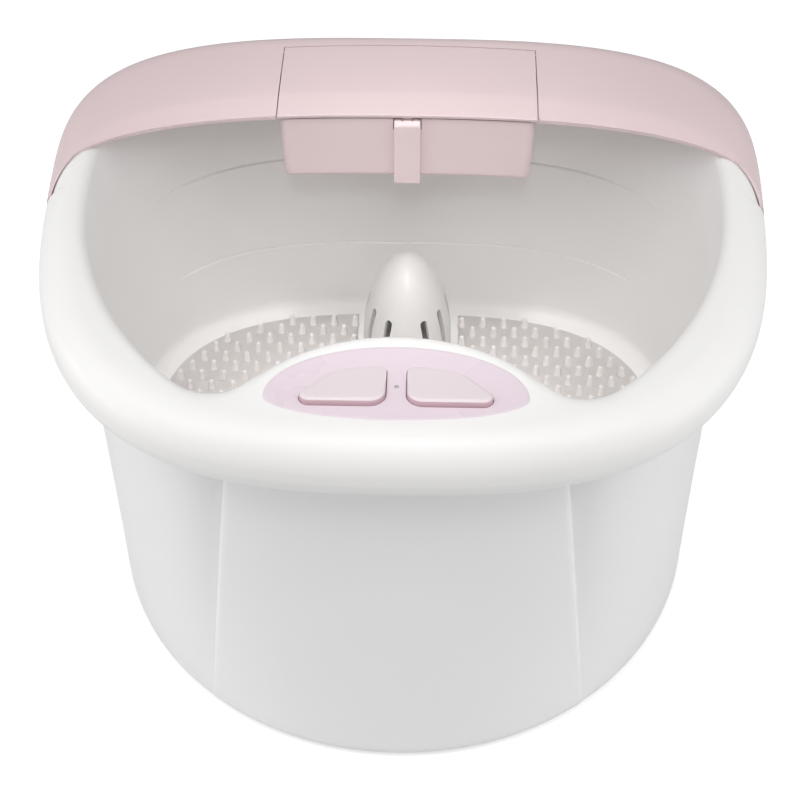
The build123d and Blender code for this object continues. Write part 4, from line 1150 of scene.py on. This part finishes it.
DOME_Y = 102.0
DOME_HALF_WIDTH = 26.5
DOME_HALF_LENGTH = 35.0
DOME_STRAIGHT = 20.0
DOME_RISE = 60.0
DOME_WALL = 2.5
DOME_BOTTOM = FLOOR_TOP + 2.3
SLOT_WIDTH = 4.6
SLOT_BOTTOM = 70.0
SLOT_TOP = 113.0
SLOT_STEPS = 12
SLOT_REACH = (-14, 9)
MAT_MARGIN = 3.0
MAT_THICKNESS = 1.6
MAT_INNER_X = 31.0
NUB_RADIUS = 2.1
NUB_HEIGHT = 7.0
NUB_PITCH = 13.0
NUB_ROW = 9.0


def dome_rings(grow):
    """The dome's rings from its foot to its tip, moved outwards by the growth."""
    egg = unit_circle(144) * (DOME_HALF_WIDTH + grow, DOME_HALF_LENGTH + grow)
    shoulder = FLOOR_TOP + DOME_STRAIGHT
    rings = [with_z(egg + (0, DOME_Y), z) for z in np.linspace(DOME_BOTTOM, shoulder, 5)[:-1]]
    for step in range(25):
        swing = QUARTER * step / 24 * 0.985
        level = shoulder + (DOME_RISE + grow) * sin(swing)
        rings.append(with_z(egg * cos(swing) + (0, DOME_Y), level))
    return rings


def build_dome():
    """The hollow slotted dome; it has no slot at its back."""
    outer, inner = dome_rings(0), dome_rings(-DOME_WALL)
    rings = inner[::-1] + outer
    dome = capped("dome", rings)
    for step in range(1, SLOT_STEPS):
        if 2 * step == SLOT_STEPS:
            continue
        turn = TAU * step / SLOT_STEPS
        x, y = DOME_HALF_WIDTH * sin(turn), DOME_Y - DOME_HALF_LENGTH * cos(turn)
        heading = np.arctan2(-cos(turn) / DOME_HALF_LENGTH, sin(turn) / DOME_HALF_WIDTH)
        half = SLOT_WIDTH / 2
        corners = [(-half, SLOT_BOTTOM), (half, SLOT_BOTTOM), (half, SLOT_TOP), (-half, SLOT_TOP)]
        line = rounded(corners, half - 0.05, 8)
        forward = np.array((cos(heading), sin(heading)))
        across = np.array((-forward[1], forward[0]))
        ends = [np.array((x, y)) + forward * reach for reach in SLOT_REACH]
        ends = [np.column_stack([end + across * line[:, :1], line[:, 1]]) for end in ends]
        cut(dome, capped("slot", ends))
    return soften(dome, 0.4, segments=2, angle=45)


def on_floor(x, y, margin):
    """Whether a spot lies on the tub's floor, clear of its edge by the margin."""
    inset = FLOOR_INSET + FLOOR_ROUND + margin
    half_width = TUB_HALF_WIDTH - inset
    behind = y > TUB_WIDE_Y
    along = abs(y - TUB_WIDE_Y) / ((TUB_BACK if behind else TUB_FRONT) - inset)
    power = TUB_BACK_POWER if behind else 2
    clear_of_pod = hypot(x, y - POD_Y) > POD_RADIUS + inset
    return clear_of_pod and (abs(x) / half_width) ** power + along**power < 1


def nub_spots():
    """Where the right mat's nubs stand: in rows, every other one shifted by half a pitch."""
    spots = []
    for row in range(int((TUB_FRONT + TUB_BACK) / NUB_ROW)):
        y = TUB_WIDE_Y - TUB_FRONT + row * NUB_ROW
        for column in range(int(TUB_HALF_WIDTH / NUB_PITCH) + 1):
            x = MAT_INNER_X + NUB_PITCH * (column + 0.5 - 0.5 * (row % 2)) + NUB_RADIUS
            if on_floor(x, y, MAT_MARGIN / 2 + NUB_RADIUS):
                spots.append((x, y))
    return spots


def build_mat(side):
    """One foot's field of round-topped nubs on a thin plate."""
    line = tub_outline(FLOOR_INSET + FLOOR_ROUND + MAT_MARGIN / 2)
    inside = line[line[:, 0] > MAT_INNER_X]
    order = np.argsort(np.arctan2(inside[:, 1] - HUB[1], inside[:, 0] - MAT_INNER_X))
    inside = even(inside[order], 120)
    outline = np.concatenate([inside, [(MAT_INNER_X, inside[-1][1]), (MAT_INNER_X, inside[0][1])]])
    parts = [prism("plate", outline, FLOOR_TOP, FLOOR_TOP + MAT_THICKNESS)]
    circle = unit_circle(16)
    profile = [(NUB_RADIUS * 1.25, 0.0), (NUB_RADIUS, 0.7), (NUB_RADIUS * 0.86, NUB_HEIGHT * 0.55)]
    tip = NUB_RADIUS * 0.72
    for step in range(5):
        swing = QUARTER * step / 5
        profile.append((tip * cos(swing) * 1.02, NUB_HEIGHT - tip * (1 - sin(swing))))
    profile.append((tip * 0.1, NUB_HEIGHT))
    base = FLOOR_TOP + MAT_THICKNESS - 0.2
    points, faces = [], []
    for x, y in nub_spots():
        start = len(points) * len(circle)
        rings = [with_z(circle * r + (x, y), base + z) for r, z in profile]
        nub_faces = ring_faces(len(rings), len(circle), first_cap=True, last_cap=True)
        faces += [tuple(start + k for k in face) for face in nub_faces]
        points += rings
    parts.append(outward(mesh_object("nubs", np.concatenate(points), faces)))
    mat = join("mat", parts)
    if side < 0:
        mat.data.transform(Matrix.Scale(-1, 4, (1, 0, 0)))
        mat.data.flip_normals()
    mat.data.shade_smooth()
    return mat


dome = build_dome()
finish_piece(dome, DOME_WHITE, "dome_white", "slotted_dome", "slotted_dome")
for side, name in ((-1, "massage_mat_left"), (1, "massage_mat_right")):
    mat = build_mat(side)
    mat.name = name + "_nubs"
    finish_piece(mat, MAT_WHITE, "mat_white", "basin", name)


# ---- outer housing

CREASE_TOP_X = 86.0
CREASE_BASE_X = 103.0
FLUTE_DEPTH = 9.0
FLUTE_BASE_DEPTH = 0.4
FLUTE_RETURN = 0.9
FLUTE_FADE = 32.0
FLUTE_FALL_POWER = 2.6
FLUTE_SIDE = (10, 70)


def housing_ring(level, inset):
    """The housing's outline at a level, with columns that follow its two creases."""
    share = (level - HOUSING_BOTTOM) / (HOUSING_TOP - HOUSING_BOTTOM)
    dense = np.linspace(-QUARTER, QUARTER, 1500)
    low, high = oval(dense, BASE, inset), oval(dense, SHOULDER, inset)
    line = low + (high - low) * share
    crease_x = CREASE_BASE_X + (CREASE_TOP_X - CREASE_BASE_X) * share
    crease = int(np.argmax(line[:, 0] > crease_x))
    x, y = line.T
    depth = FLUTE_BASE_DEPTH + (FLUTE_DEPTH - FLUTE_BASE_DEPTH) * share
    inner = np.sin(QUARTER * np.clip((x - crease_x) / FLUTE_RETURN, 0, 1))
    outer = (1 - np.clip((x - crease_x - FLUTE_RETURN) / FLUTE_FADE, 0, 1)) ** FLUTE_FALL_POWER
    pull = depth * inner * outer * smooth_step(-y, *FLUTE_SIDE)
    line = np.column_stack([x, y + pull])
    turned = int(np.argmax(x > crease_x + 1.6 * FLUTE_RETURN))
    stretches = ((line[:crease], 41), (line[crease - 1 : turned + 1], 16))
    right = [even(stretch, count)[:-1] for stretch, count in stretches]
    right = np.concatenate(right + [even(line[turned:], 140)])
    return np.concatenate([right, right[-2:0:-1] * (-1, 1)])


def build_housing():
    """The lower outer shell, open above and below, with a small bevel at its foot."""
    steps = [(HOUSING_BOTTOM + rise, inset) for rise, inset in ((0, 1.2), (0.35, 0.35), (1.2, 0.0))]
    steps += [(level, 0) for level in np.linspace(HOUSING_BOTTOM + 4, HOUSING_TOP, 26)]
    steps += [(level, HOUSING_WALL) for level in np.linspace(HOUSING_TOP, HOUSING_BOTTOM, 6)]
    rings = [with_z(housing_ring(level, inset), level) for level, inset in steps]
    return outward(rings_object("housing", rings, closed_profile=True))


housing = build_housing()
finish_piece(housing, HOUSING_WHITE, "white_shell", "basin", "outer_housing")
finish_piece(basin, WHITE_SHELL, "white_shell", "basin", "basin")

for material, names in CARRIED_OVER.items():
    for name in names:
        dress(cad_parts[name], material)
